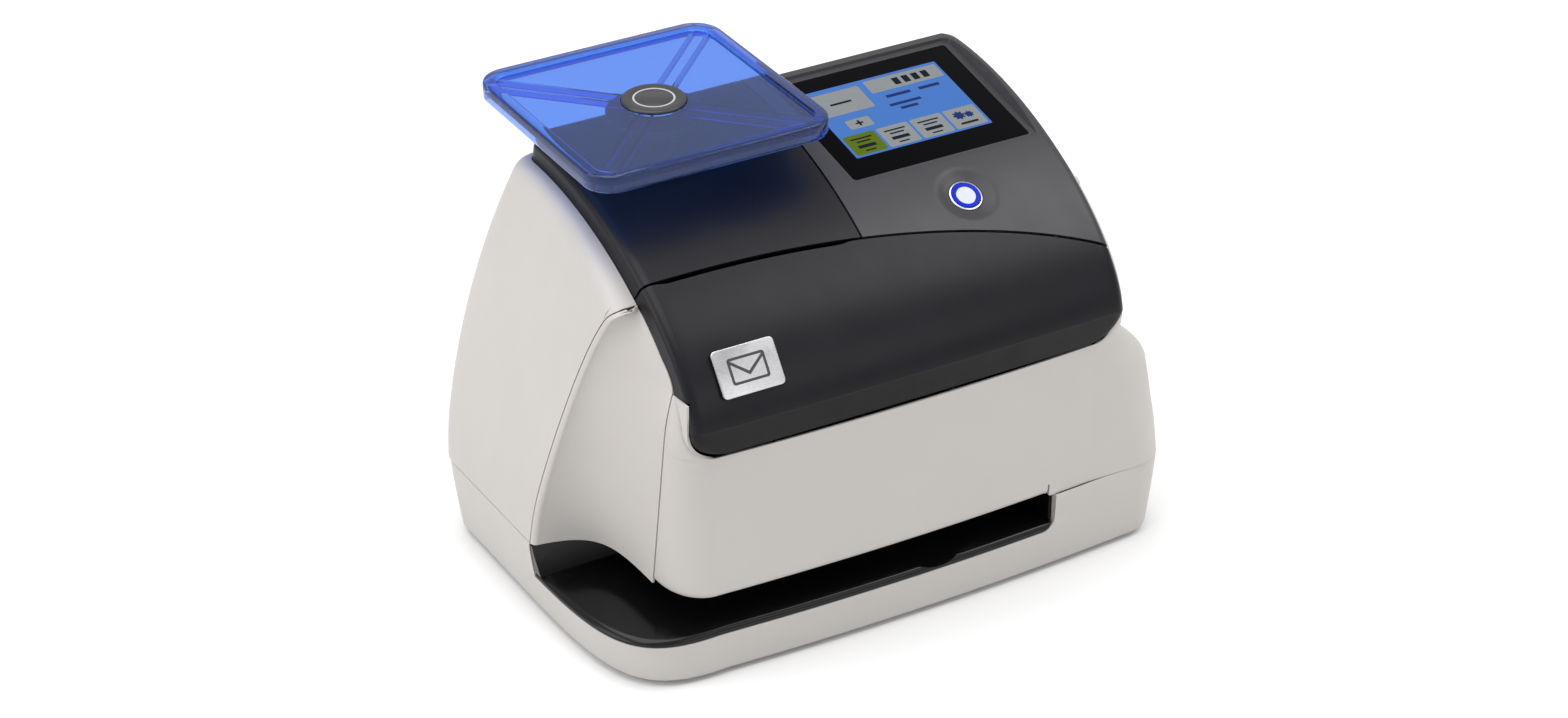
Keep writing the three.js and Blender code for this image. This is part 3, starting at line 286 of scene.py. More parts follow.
def lathe(name, profile, sides=64, matrix=None):
    """A closed profile of (radius, height) turned about its axis; radius 0 lies on the axis."""
    points, rings = [], []
    turn = steps(0, 2 * pi, sides)[:-1]
    for radius, height in profile:
        if radius == 0:
            rings.append([len(points)] * sides)
            points.append((0, 0, height))
        else:
            rings.append([len(points) + i for i in range(sides)])
            points += [(*arc_point(0, 0, a, radius), height) for a in turn]
    faces = []
    closed = 0 if profile[0][0] == 0 and profile[-1][0] == 0 else 1
    for k in range(len(rings) - 1 + closed):
        low, high = rings[k], rings[(k + 1) % len(rings)]
        for i in range(sides):
            j = (i + 1) % sides
            corners = [low[i], low[j], high[j], high[i]]
            face = [c for n, c in enumerate(corners) if c not in corners[:n]]
            if len(face) > 2:
                faces.append(tuple(face))
    return piece(name, points, faces, matrix)


def drum(name, radius, low, high, sides, matrix):
    return lathe(name, [(0, low), (radius, low), (radius, high), (0, high)], sides, matrix)


def combine(obj, other, operation):
    """Joins, cuts or intersects obj with another solid, which is used up."""
    modifier = obj.modifiers.new("boolean", "BOOLEAN")
    modifier.object = other
    modifier.operation = operation
    modifier.solver = "EXACT"
    bpy.context.view_layer.update()
    evaluated = obj.evaluated_get(bpy.context.evaluated_depsgraph_get())
    mesh = bpy.data.meshes.new_from_object(evaluated)
    obj.modifiers.remove(modifier)
    obj.data = mesh
    bpy.data.objects.remove(other)
    return obj


def cut(obj, other):
    return combine(obj, other, "DIFFERENCE")


def join(obj, other):
    return combine(obj, other, "UNION")


def sphere(name, middle, radius):
    mesh = bpy.data.meshes.new(name)
    ball = bmesh.new()
    bmesh.ops.create_uvsphere(ball, u_segments=64, v_segments=40, radius=radius * MM)
    ball.transform(Matrix.Translation(place(middle)))
    ball.to_mesh(mesh)
    ball.free()
    return add_object(name, mesh)


def weld(obj):
    tidy = bmesh.new()
    tidy.from_mesh(obj.data)
    bmesh.ops.remove_doubles(tidy, verts=tidy.verts, dist=WELD * MM)
    bmesh.ops.dissolve_degenerate(tidy, edges=tidy.edges, dist=WELD * MM)
    tidy.to_mesh(obj.data)
    tidy.free()


def dress(obj, material, nodes=(), body="casing", edge=0.35, angle=38):
    """Finishes a piece: smooth faces, softened edges, material, and its place in the frame."""
    obj.data.materials.clear()
    obj.data.materials.append(material)
    obj.data.shade_smooth()
    obj.data.set_sharp_from_angle(angle=radians(angle))
    if edge:
        weld(obj)
        bevel = obj.modifiers.new("soft edges", "BEVEL")
        bevel.width = edge * MM
        bevel.segments = 2
        bevel.limit_method = "ANGLE"
        bevel.angle_limit = radians(angle)
        bevel.harden_normals = True
    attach(obj, body)
    if nodes:
        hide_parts(*nodes)


# ---- materials
def node_tree(name):
    material = bpy.data.materials.new(name)
    material.use_nodes = True
    tree = material.node_tree
    return material, tree, tree.nodes["Principled BSDF"]


def link(tree, output, node, socket):
    tree.links.new(output, node.inputs[socket])


def noise(tree, scale, detail=3.0, stretch=(1, 1, 1)):
    """Noise fixed to the object; scale in cycles per metre."""
    coordinates = tree.nodes.new("ShaderNodeTexCoord")
    mapping = tree.nodes.new("ShaderNodeMapping")
    mapping.inputs["Scale"].default_value = stretch
    texture = tree.nodes.new("ShaderNodeTexNoise")
    texture.inputs["Scale"].default_value = scale
    texture.inputs["Detail"].default_value = detail
    link(tree, coordinates.outputs["Object"], mapping, "Vector")
    link(tree, mapping.outputs["Vector"], texture, "Vector")
    return texture.outputs["Fac"]


def spread(tree, value, low, high, source=(0.3, 0.7)):
    """Maps a noise value to a range."""
    node = tree.nodes.new("ShaderNodeMapRange")
    node.inputs["From Min"].default_value, node.inputs["From Max"].default_value = source
    node.inputs["To Min"].default_value = low
    node.inputs["To Max"].default_value = high
    link(tree, value, node, "Value")
    return node.outputs["Result"]


def blend_colours(tree, share, first, second):
    """Colour first where share is 0 and second where it is 1; each a colour or a socket."""
    node = tree.nodes.new("ShaderNodeMix")
    node.data_type = "RGBA"
    link(tree, share, node, "Factor")
    for socket, colour in (("A", first), ("B", second)):
        target = [s for s in node.inputs if s.name == socket and s.type == "RGBA"][0]
        if isinstance(colour, bpy.types.NodeSocket):
            tree.links.new(colour, target)
        else:
            target.default_value = (*colour, 1)
    return [s for s in node.outputs if s.type == "RGBA"][0]


def worn(tree, colour, lighter):
    """Lightens the colour along outward edges, where hands and letters rub it."""
    geometry = tree.nodes.new("ShaderNodeNewGeometry")
    edge = spread(tree, geometry.outputs["Pointiness"], 0, 1, (0.515, 0.56))
    patches = tree.nodes.new("ShaderNodeMath")
    patches.operation = "MULTIPLY"
    link(tree, edge, patches, 0)
    link(tree, spread(tree, noise(tree, 160), 0, 0.8), patches, 1)
    return blend_colours(tree, patches.outputs[0], colour, lighter)


def bump(tree, shader, height, distance, strength=1.0):
    node = tree.nodes.new("ShaderNodeBump")
    node.inputs["Strength"].default_value = strength
    node.inputs["Distance"].default_value = distance * MM
    link(tree, height, node, "Height")
    link(tree, node.outputs["Normal"], shader, "Normal")


def shade(colour, factor):
    return tuple(clamp(c * factor) for c in colour)


def plastic(name, colour, roughness, grain, depth, mottle, wear, specular=0.5):
    """Moulded plastic: spark-eroded grain, slight clouding, uneven sheen and rubbed edges."""
    material, tree, shader = node_tree(name)
    clouds = spread(tree, noise(tree, 22, 4), 0, 1)
    clouded = blend_colours(tree, clouds, shade(colour, 1 - mottle), shade(colour, 1 + mottle))
    colour_out = worn(tree, clouded, shade(colour, wear)) if wear != 1 else clouded
    link(tree, colour_out, shader, "Base Color")
    smears = noise(tree, 55, 5, (1, 1, 0.5))
    link(tree, spread(tree, smears, roughness * 0.88, roughness * 1.12), shader, "Roughness")
    shader.inputs["Specular IOR Level"].default_value = specular
    bump(tree, shader, noise(tree, 1000 / grain, 2), depth)
    return material


def metal(name, colour, roughness, stretch, scale):
    """Bare metal with fine drawn or ground lines."""
    material, tree, shader = node_tree(name)
    shader.inputs["Metallic"].default_value = 1
    lines = noise(tree, scale, 3, stretch)
    tinted = blend_colours(tree, spread(tree, lines, 0, 1), shade(colour, 0.9), shade(colour, 1.06))
    link(tree, tinted, shader, "Base Color")
    sheen = spread(tree, noise(tree, 70, 4), roughness * 0.8, roughness * 1.25)
    link(tree, sheen, shader, "Roughness")
    bump(tree, shader, lines, 0.004)
    return material


def clear_blue():
    """Clear blue acrylic with tiny bubbles in its mass."""
    material, tree, shader = node_tree("clear_blue_acrylic")
    shader.inputs["Transmission Weight"].default_value = 0.94
    shader.inputs["IOR"].default_value = 1.4
    specks = spread(tree, noise(tree, 900, 1), 0, 1, (0.7, 0.76))
    colour = blend_colours(tree, specks, (0.23, 0.40, 0.97), (0.55, 0.65, 1.0))
    link(tree, colour, shader, "Base Color")
    link(tree, spread(tree, noise(tree, 120, 4), 0.02, 0.06), shader, "Roughness")
    bump(tree, shader, specks, 0.05, 0.3)
    depth = tree.nodes.new("ShaderNodeVolumeAbsorption")
    depth.inputs["Color"].default_value = (0.02, 0.45, 0.79, 1)
    depth.inputs["Density"].default_value = 190
    tree.links.new(depth.outputs["Volume"], tree.nodes["Material Output"].inputs["Volume"])
    return material


def glow(tree, shader, colour, strength, roughness):
    """Lights a surface from behind; it hardly reflects."""
    shader.inputs["Base Color"].default_value = (0.003, 0.003, 0.003, 1)
    link(tree, colour, shader, "Emission Color")
    shader.inputs["Emission Strength"].default_value = strength
    shader.inputs["Specular IOR Level"].default_value = 0.05
    shader.inputs["Roughness"].default_value = roughness


def lit(name, colour, strength):
    """A part lit from behind, slightly uneven."""
    material, tree, shader = node_tree(name)
    spots = spread(tree, noise(tree, 400, 2), 0, 1)
    glow(tree, shader, blend_colours(tree, spots, shade(colour, 0.94), colour), strength, 0.25)
    return material


def sky_screen():
    """The lit background of the display: blue, a little paler towards its far edge."""
    material, tree, shader = node_tree("display_background")
    coordinates = tree.nodes.new("ShaderNodeTexCoord")
    split = tree.nodes.new("ShaderNodeSeparateXYZ")
    link(tree, coordinates.outputs["Object"], split, "Vector")
    low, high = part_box("display_glass")
    share = spread(tree, split.outputs["Y"], 0, 1, (low.y, high.y))
    grain = spread(tree, noise(tree, 2600, 1), 0.97, 1.0)
    fade = blend_colours(tree, share, (0.076, 0.22, 0.66), (0.084, 0.235, 0.69))
    dim = tree.nodes.new("ShaderNodeVectorMath")
    dim.operation = "SCALE"
    link(tree, fade, dim, 0)
    link(tree, grain, dim, "Scale")
    glow(tree, shader, dim.outputs[0], 0.85, 0.2)
    return material


# Plastics: colour, roughness, grain mm, its depth mm, mottle, wear at the edges, specular.
WHITE = plastic("warm_white_casing", (0.50, 0.475, 0.455), 0.48, 0.7, 0.018, 0.012, 1.06)
DARK = plastic("dark_grey_cover", (0.0082, 0.0080, 0.0112), 0.32, 0.5, 0.012, 0.08, 2.2, 0.21)
# The flap's lower bevel: the flap's own dark grey, painted darker as painted shade on a band that faces
# down.
DARK_PAINTED_SHADE_EDGE = plastic("dark_grey_lower_edge_painted_shade", (0.005, 0.0048, 0.0055), 0.42, 0.5, 0.012, 0.08, 2.2, 0.15)
# The control panel: the dark top's plastic painted a lighter grey, as painted reflection of the light the
# tilted panel catches.
PANEL_PAINTED_REFLECTION = plastic("panel_grey_painted_reflection", (0.0355, 0.0353, 0.0405), 0.38, 0.5, 0.012, 0.06, 1.6, 0.36)
DECK = plastic("black_letter_deck", (0.0045, 0.0043, 0.0048), 0.2, 1.2, 0.006, 0.1, 3.0, 0.3)
GLOSS = plastic("black_display_glass", (0.002, 0.002, 0.003), 0.05, 3.0, 0.001, 0.1, 1.0, 0.03)
CAP = plastic("black_platter_cap", (0.030, 0.030, 0.034), 0.32, 0.6, 0.02, 0.1, 1.6)
INNER = plastic("inner_grey_moulding", (0.11, 0.112, 0.118), 0.5, 0.8, 0.03, 0.06, 1.3)
INNER_BLACK = plastic("inner_black_moulding", (0.012, 0.012, 0.013), 0.45, 0.8, 0.02, 0.1, 1.8)
RUBBER = plastic("black_rubber", (0.012, 0.012, 0.012), 0.8, 0.9, 0.06, 0.15, 1.5)
BOARD = plastic("green_circuit_board", (0.012, 0.10, 0.040), 0.35, 1.5, 0.03, 0.25, 1.2)
FILM = plastic("cream_flexible_film", (0.72, 0.68, 0.56), 0.4, 1.0, 0.01, 0.05, 1.1)
FELT = plastic("grey_felt", (0.20, 0.21, 0.22), 0.95, 1.4, 0.4, 0.2, 1.2)
SILVER = metal("satin_silver", (0.64, 0.64, 0.65), 0.28, (1, 8, 1), 500)
STEEL = metal("plated_steel", (0.60, 0.61, 0.63), 0.32, (1, 1, 10), 600)
ALUMINIUM = metal("machined_aluminium", (0.74, 0.75, 0.77), 0.35, (12, 1, 1), 500)
CLEAR_BLUE = clear_blue()
BUTTON_LIGHT = lit("white_button_light", (0.90, 0.93, 1.0), 0.95)
RING_LIGHT = lit("blue_ring_light", (0.01, 0.03, 0.72), 0.95)
SCREEN_SKY = sky_screen()
KEY_GREY = lit("display_key_grey", (0.30, 0.325, 0.335), 0.95)
KEY_GREEN = lit("display_key_green", (0.125, 0.195, 0.006), 0.85)
INK = lit("display_ink", (0.02, 0.025, 0.05), 0.3)
INK_BLUE = lit("display_ink_blue", (0.02, 0.05, 0.25), 0.6)
MARK = plastic("white_print", (0.42, 0.42, 0.43), 0.5, 1.0, 0.005, 0.03, 1.0)
BADGE_MARK = plastic("badge_mark", (0.035, 0.035, 0.04), 0.3, 0.6, 0.01, 0.08, 1.3)


# ---- the casing's outer form
def front_arc(x, front):
    return x * x * BULGE - front


def half_width(z):
    above = z - SIDE_BEND
    return HALF_WIDTH - SIDE_LEAN * (hypot(above, SIDE_SOFTNESS) + above) / 2


def right_width(z):
    """The right side rolls in below the front flap and then follows the dark top closely."""
    roll_from, roll_to, roll_x = 101, 131, 130.5
    share = clamp((z - roll_from) / (roll_to - roll_from))
    return mix(half_width(z), min(roll_x, half_width(z)), share * share * (3 - 2 * share))


def corner_radius(z):
    return mix(CORNER, TOP_CORNER, clamp((z - SEAM) / (TOP - SEAM)) ** 2)


def rear_line(z):
    return BACK - REAR_DROP * (max(0, z - REAR_KNEE) / (TOP - REAR_KNEE)) ** 2


def arch_height(y):
    return SEAM + ARCH_HEIGHT * (1 - clamp(1 - (ARCH_Y - y) / ARCH_LENGTH) ** ARCH_POWER)


def arch_line(z):
    return ARCH_Y - ARCH_LENGTH * (1 - clamp(1 - (z - SEAM) / ARCH_HEIGHT) ** (1 / ARCH_POWER))


def ridge_tangent(t):
    a, b, c, d = (Vector(p) for p in RIDGE)
    return ((1 - t) ** 2 * (b - a) + 2 * (1 - t) * t * (c - b) + t * t * (d - c)).normalized()


def ridge(t, depth=0.0):
    """A point (y, z) of the dark top's side view, depth below its surface."""
    point = bezier(RIDGE, t)
    tangent = ridge_tangent(t)
    return point[0] + tangent.y * depth, point[1] - tangent.x * depth


WHITE_LINE = np.array([ridge(t, TOP_DEPTH) for t in steps(0, 1, 600)])


def white_top(y):
    return float(np.interp(y, WHITE_LINE[:, 0], WHITE_LINE[:, 1]))


def white_top_line(z):
    return float(np.interp(z, WHITE_LINE[:, 1], WHITE_LINE[:, 0]))


def flap_seam(x):
    return -52 - 35 * (max(0, x + 100) / 222.5) ** 2.2


def round_off(distance, radius):
    share = clamp(1 - distance / radius)
    return radius * (1 - sqrt(1 - share * share))


# ---- base and letter deck
def base_ring(z, inset):
    left, right = -HALF_WIDTH + inset, HALF_WIDTH - inset
    back = BACK - 4 - inset / 2

    def y(x):
        return front_arc(x, BASE_FRONT) + inset * 0.4

    sweep = ((left, 0), (left + 0.5, -78), (left + 7, y(left + 55) - 2), (left + 55, y(left + 55)))
    ring = [tuple(bezier(sweep, t)) for t in steps(0, 1, 32)]
    ring += [(x, y(x)) for x in steps(-70, 100, 16)]
    radius = CORNER - inset
    ring += arc(right - radius, y(right - radius) + radius, radius, -1, 0, 16)
    ring += arc(right - radius, back - radius, radius, 0, 1, 12)
    ring += arc(left + radius, back - radius, radius, 1, 2, 12)
    return [(px, py, z) for px, py in ring]


def base_inset(z):
    return 7 * (max(0, SEAM - z) / SEAM) ** 1.2


def slot_outline(margin):
    """The front view (x, z) of the space above the letter deck."""
    left, radius, high = -200, 7, 60
    right = DECK_RIGHT - margin
    low = DECK_Z - GAP + margin
    corner = arc(right - radius, low + radius, radius, -1, 0, 12)
    return [(left, low), *corner, (right, high), (left, high)]


def raised(profile, z):
    """A profile of (height, inset) moved up by z."""
    return [(z + height, inset) for height, inset in profile]


def front_prism(name, outline, y0, y1):
    """An outline drawn in the XZ plane, spread from y0 to y1."""
    return loft(name, [[(x, y, z) for x, z in outline] for y in (y1, y0)])


def box(name, low, high):
    """A plain block between two corners."""
    (x0, y0, z0), (x1, y1, z1) = low, high
    return prism(name, [(x0, y0), (x1, y0), (x1, y1), (x0, y1)], z0, z1)


def make_base():
    wall = 2.5
    bottom_edge = [(0, 2.2), (0.6, 1.1), (1.6, 0.35), (3, 0)]
    rings = [base_ring(z, base_inset(z) + roll) for z, roll in raised(bottom_edge, BASE_BOTTOM)]
    rings += [base_ring(z, base_inset(z)) for z in steps(9, SEAM - 1, 9)]
    rings += [base_ring(SEAM - 0.4, 0.15), base_ring(SEAM, 0.6)]
    base = loft("base_tray", rings)
    inner = [base_ring(z, base_inset(z) + wall) for z in (BASE_BOTTOM + wall, 15, 26, 36, SEAM - 0.1)]
    inner.append(base_ring(SEAM + 1, wall))
    cut(base, loft("hollow", inner))
    right, back = DECK_RIGHT + wall, DECK_BACK + wall
    plan = [(DECK_RIGHT, -99), (right, -99), (right, back), (-OUTSIDE, back), (-OUTSIDE, DECK_BACK),
            (DECK_RIGHT, DECK_BACK)]
    bound = [base_ring(z, base_inset(z) + 0.8) for z in (BASE_BOTTOM, 12, 22, 34, SEAM)]
    join(base, combine(prism("wall", plan, 4, SEAM - 0.2), loft("bound", bound), "INTERSECT"))
    cut(base, front_prism("slot", slot_outline(0), -130, DECK_BACK))
    radius, depth = FOOT_RADIUS + 0.6, BASE_BOTTOM + 1.2
    for foot in FEET.split():
        middle = sum(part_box(foot), Vector()) / 2 / MM
        spot = Matrix.Translation((middle.x, middle.y - DRAWING_Y, 0))
        cut(base, lathe("pocket", [(0, -1), (0, depth), (radius, depth), (radius, -1)], 40, spot))
    dress(base, WHITE, ["base_tray"], edge=0.4)


def make_deck():
    inset = base_inset(DECK_Z)
    rim = [(0, 0.2), (1.2, 0.35), (2.0, 1.1), (2.7, 2.3), (3.2, 3.6), (DECK_TOP - DECK_Z, 5.2)]
    deck = loft("letter_deck", [base_ring(z, inset + margin) for z, margin in raised(rim, DECK_Z)])
    back, top = DECK_BACK - GAP, SEAM - 0.5
    upstand = [(-15, DECK_TOP - 0.5), (back, DECK_TOP - 0.5), (back, top), (-10.5, top)]
    wall = loft("deck_wall", [[(x, y, z) for y, z in upstand] for x in (-OUTSIDE, DECK_RIGHT)])
    bound = [base_ring(z, base_inset(z) + 0.3) for z in (20, 27, 34, 40, SEAM + 1)]
    join(deck, combine(wall, loft("bound", bound), "INTERSECT"))
    join(deck, box("end_wall", (DECK_RIGHT - 2, -97, DECK_Z + 1), (DECK_RIGHT + 1, DECK_BACK - 1, top)))
    combine(deck, front_prism("reach", slot_outline(GAP), -130, back), "INTERSECT")
    cut(deck, sphere("finger_dimple", (19, -96, DECK_TOP + 21), 24))
    cut(deck, box("plate_opening", (-96, -72.5, 20), (76, -29.5, 40)))
    cut(deck, box("lever_slot", (37, -16, DECK_TOP + 1), (43, DECK_BACK, SEAM)))
    dress(deck, DECK, ["letter_deck"], edge=0.3, angle=32)


# ---- white upper casing
def side_line(f, back):
    foot = ARCH_Y + GAP
    return mix(ARCH_END, foot, 2 * f) if f < 0.5 else mix(foot, back, 2 * f - 1)


def round_three_sides(station, left, right, back, radius, side_y):
    """Left side to 1, corner to 2, back to 3, corner to 4, right side to 5."""
    part = min(4, int(station))
    f = station - part
    if part == 0:
        return left, side_y(f)
    if part == 4:
        return right, side_y(1 - f)
    if part == 2:
        return mix(left + radius, right - radius, f), back
    x, turns = (left + radius, 2 - f) if part == 1 else (right - radius, 1 - f)
    return arc_point(x, back - radius, turns * QUARTER, radius)


def shell_outline(station, z):
    back, radius = rear_line(z), corner_radius(z)
    return round_three_sides(station, -half_width(z), right_width(z), back, radius,
                             lambda f: side_line(f, back - radius))


def shell_inner_edge(station, y):
    """Where the white top meets the wall of the dark top, for the same stations."""
    point = round_three_sides(station, TOP_LEFT - GAP, TOP_RIGHT + GAP, TOP_REAR + GAP, REAR_CORNER,
                              lambda f: y)
    return (*point, white_top(min(point[1], RIDGE[3][0])))


def shoulder_share(z, height, radius=SHOULDER):
    """How far round the shoulder the height z lies: 0 at its foot, 1 at its top."""
    return 1 - sqrt(1 - clamp((z - height + radius) / radius))


def shoulder_inset(z):
    """How far the shoulder comes in where the arch's edge passes the height z."""
    return SHOULDER * shoulder_share(z, white_top(arch_line(z))) ** 2


@lru_cache(maxsize=None)
def shell_station(station):
    """Height, top edge, inner edge and foot of the shell at one station."""
    height = root(lambda z: z - white_top(min(RIDGE[3][0], shell_outline(station, z)[1])), 100, TOP)
    edge = (*shell_outline(station, height), height)
    inner = shell_inner_edge(station, edge[1])
    return height, edge, inner, arch_height(shell_outline(station, SEAM)[1]) + GAP


def shell_point(station, v):
    """Walks up one station: the wall to 1, the round shoulder to 2, the top strip to 3."""
    height, edge, inner, foot = shell_station(station)
    reach = hypot(edge[0] - inner[0], edge[1] - inner[1])
    radius = min(SHOULDER, 0.8 * reach)
    wall_top = height - radius
    turned = [mix(a, b, radius / reach) for a, b in zip(edge, inner)]
    if v >= 2:
        return [mix(a, b, v - 2) for a, b in zip(turned, inner)]
    missing = shoulder_share(foot, height, radius)
    if v <= 1 and missing == 0:
        z = mix(foot, wall_top, v)
        return (*shell_outline(station, z), z)
    t = mix(missing, 1, v / 2) if missing else v - 1
    wall = (*shell_outline(station, wall_top), wall_top)
    return [(1 - t) ** 2 * a + 2 * t * (1 - t) * b + t * t * c for a, b, c in zip(wall, edge, turned)]


def make_rear_shell():
    stations = [i / 120 for i in (0, 0.4, 1.2)]
    stations += chain(0, 40, 0.5, 30, 1, 10, 2, 24, 3, 10, 4, 30, 4.5, 40, 5)[2:]
    columns = [5 - station for station in reversed(stations)]
    shell = skin("rear_shell", columns, chain(0, 48, 1, 8, 2, 4, 3), lambda u, v: shell_point(5 - u, v))
    cut(shell, box("inlet", (99.7, 85, 59.7), (128.3, 110, 82.3)))
    cut(shell, box("port", (57.7, 85, 61.7), (76.3, 110, 76.3)))
    dress(shell, WHITE, ["rear_shell"], edge=0.45)


def lip_inset(z):
    rise = clamp(z - (SEAM + GAP), 0, LIP)
    return LIP - sqrt(LIP * LIP - (LIP - rise) ** 2)


def scoop_joint(z):
    """The upright joint leans back as it rises, and turns towards the dark top near its end."""
    turn = clamp((z - JOINT_TOP + 26) / 26) ** 2
    return SCOOP_EDGE + (z - SEAM) / 60 + 2.9 * turn, -70 - (z - SEAM) * 0.13 + 0.6 * turn


def scoop_outline(f, z):
    """Across the scoop panel: a rounded edge at the arch, then one sweep that is hollow low down."""
    side = shoulder_inset(z) - half_width(z)
    arch = arch_line(z) - 2 * GAP
    joint = scoop_joint(z)
    blend = clamp((z - JOINT_TOP) / 14) ** 0.5
    end = (mix(joint[0], TOP_LEFT - GAP, blend), mix(joint[1], white_top_line(z), blend))
    height = clamp((z - SEAM) / (white_top(ARCH_END) - SEAM))
    hollow = (1 - height) ** 2
    start = (side + EDGE_ROUND * mix(0.5, 1, hollow), arch - EDGE_ROUND)
    if f < EDGE_SHARE:
        t = f / EDGE_SHARE
        a, b, c = (1 - t) ** 2, 2 * t * (1 - t), t * t
        return side * (a + b) + start[0] * c, arch * a + start[1] * (b + c)
    first = (mix(start[0], end[0], mix(0.45, 0.95, hollow)), mix(start[1], end[1], 0.08))
    second = (end[0], mix(start[1], end[1], mix(0.55, 0.3, hollow)))
    return tuple(bezier((start, first, second, end), (f - EDGE_SHARE) / (1 - EDGE_SHARE)))


def make_scoop():
    top = white_top(ARCH_END) - 0.1
    rows = chain(SEAM + GAP, 50, JOINT_TOP, 24, top - 8, 16, top)

    def surface(f, z):
        return (*scoop_outline(mix(0.004, 0.996, f), z), z)

    panel = skin("scoop_panel", chain(0, 10, EDGE_SHARE, 40, 1), rows, surface, THIN_WALL)
    dress(panel, WHITE, ["scoop_panel"], edge=0.4)


def front_knee(z, side):
    """Ends of the front wall: below the flap a fixed x, above its edge the sides of the dark top."""
    rise = z - FLAP_EDGE[1] + FLAP_CLEARANCE
    rounding = round_off(rise, FLAP_CORNER)
    x = TOP_LEFT - GAP + rounding if side < 0 else TOP_RIGHT + GAP - rounding
    front = front_arc(x, FRONT)
    share = clamp(rise / FLAP_CORNER)
    return x, mix(front, max(front, white_top_line(z)), share)


def front_outline(station, z):
    """Left corner to 1, front wall to 2, right corner to 3, right side to 4."""
    part = min(3, int(station))
    f = station - part
    left, right = front_knee(z, -1), front_knee(z, 1)
    if part == 0:
        joint = scoop_joint(z)
        start = (joint[0] + GAP, joint[1] - GAP)
        first = (start[0], left[1] + (start[1] - left[1]) * 0.3)
        second = (mix(start[0], left[0], 0.55), left[1])
        return tuple(bezier((start, first, second, left), f))
    if part == 1:
        x = mix(left[0], right[0], f)
        return x, front_arc(x, FRONT)
    width = right_width(z)
    fuller = CORNER + 5 * clamp((z - SEAM) / 30)
    radius = min(fuller, max(2, width - right[0] - 0.5))
    if part == 3:
        return width - shoulder_inset(z) * f, mix(right[1] + radius, arch_line(z) - GAP, f)
    level = width - radius - right[0]
    straight = level / (level + radius * 1.5)
    if f < straight:
        return mix(right[0], width - radius, f / straight), right[1]
    turned = (f - straight) / (1 - straight)
    return arc_point(width - radius, right[1] + radius, (turned - 1) * QUARTER, radius)


def lipped_front(station, z):
    point = front_outline(station, z)
    inset = 0 if point[0] > LIP_END else lip_inset(z)
    if inset == 0:
        return (*point, z)
    before, after = front_outline(max(0, station - 0.01), z), front_outline(station + 0.01, z)
    return (*move_left(point, before, after, inset), z)


def make_front_casing():
    left = front_knee(SEAM, -1)[0]
    notch = 1 + (LIP_END - left) / (front_knee(SEAM, 1)[0] - left)
    columns = chain(0, 28, 1, 30, notch - 0.004) + [notch + 0.004] + chain(notch + 0.03, 6, 2, 26, 3, 24, 4)
    left_end, right_start = columns.index(1), columns.index(2)
    top = white_top(ARCH_END) - 0.1
    edge = FLAP_EDGE[1] - FLAP_CLEARANCE
    rows = [SEAM + GAP + LIP * (1 - cos(a)) for a in quarter(8)] + steps(54, edge, 30)
    rows += [edge + FLAP_CORNER * s * s for s in steps(0, 1, 14)][1:]
    rows += chain(edge + FLAP_CORNER, 8, JOINT_TOP, 12, top - 8, 12, top)[1:]

    def keep(i, j):
        return rows[j + 1] <= edge or i >= right_start or (i < left_end and rows[j + 1] <= JOINT_TOP)

    casing = skin("front_casing", columns, rows, lipped_front, THIN_WALL, keep)
    cut(casing, box("slit", (LIP_END - 0.5, -110, 40), (LIP_END + 0.5, -85, 52)))
    dress(casing, WHITE, ["front_casing"], edge=0.45)


# ---- dark top
EDGE_LINE = [(0, TOP_DEPTH), (0.3, 8), (0.6, 6)]
EDGE_LINE += [(0.8 + 5.6 * (1 - cos(a)), 4.4 * (1 - sin(a))) for a in quarter(8)]
REAR_LINE = [(2 * sin(a), 3 * (1 - cos(a))) for a in quarter(6)]
REAR_LINE += [(2, 6), (2, TOP_DEPTH)]


def top_bulge(x, t):
    return TOP_BULGE * (1 - t) * (1 - ((x - 2.5) / 122) ** 2)


def flap_bevel(share, depth):
    crease = ridge(0, depth)
    lower = (FLAP_EDGE[0] + depth * 0.95, FLAP_EDGE[1])
    return mix(crease[0], lower[0], share), mix(crease[1], lower[1], share)


def top_point(x, t, depth):
    side = flap_bevel(-t, depth) if t < 0 else ridge(t, depth)
    return x, side[0] - top_bulge(x, max(0, t)), side[1]


def cover_columns(left, right, joints):
    """Columns (0, share of the width), with (-1, i) and (1, i) along a rounded left or right edge."""
    columns = [(0, f) for f in steps(0, 1, joints)]
    edge = range(len(EDGE_LINE))
    if left:
        columns = [(-1, i) for i in edge] + columns[1:]
    return columns[:-1] + [(1, i) for i in reversed(edge)] if right else columns


def column_place(column, left, right, ends=(True, True)):
    """x and depth of a column; ends says which sides of the cover have a rounded edge."""
    side, value = column
    if side:
        inset, depth = EDGE_LINE[value]
        return left + inset if side < 0 else right - inset, depth
    return mix(left + EDGE_LINE[-1][0] * ends[0], right - EDGE_LINE[-1][0] * ends[1], value), 0


@lru_cache(maxsize=None)
def seam_t(x, offset):
    return root(lambda t: bezier(RIDGE, t)[0] - top_bulge(x, t) - flap_seam(x) - offset, 0, 1)


def flap_surface(column, v):
    height = (1 + v) * (RIDGE[0][1] - FLAP_EDGE[1]) if v < 0 else FLAP_CORNER
    inset = round_off(height, FLAP_CORNER)
    x, depth = column_place(column, TOP_LEFT + inset, TOP_RIGHT - inset)
    finger = FINGER_GAP * clamp((-x - 8) / 6) * clamp((x + 112) / 6)
    t = v if v < 0 else v * seam_t(x, -SEAM_HALF - finger)
    return top_point(x, t, depth)


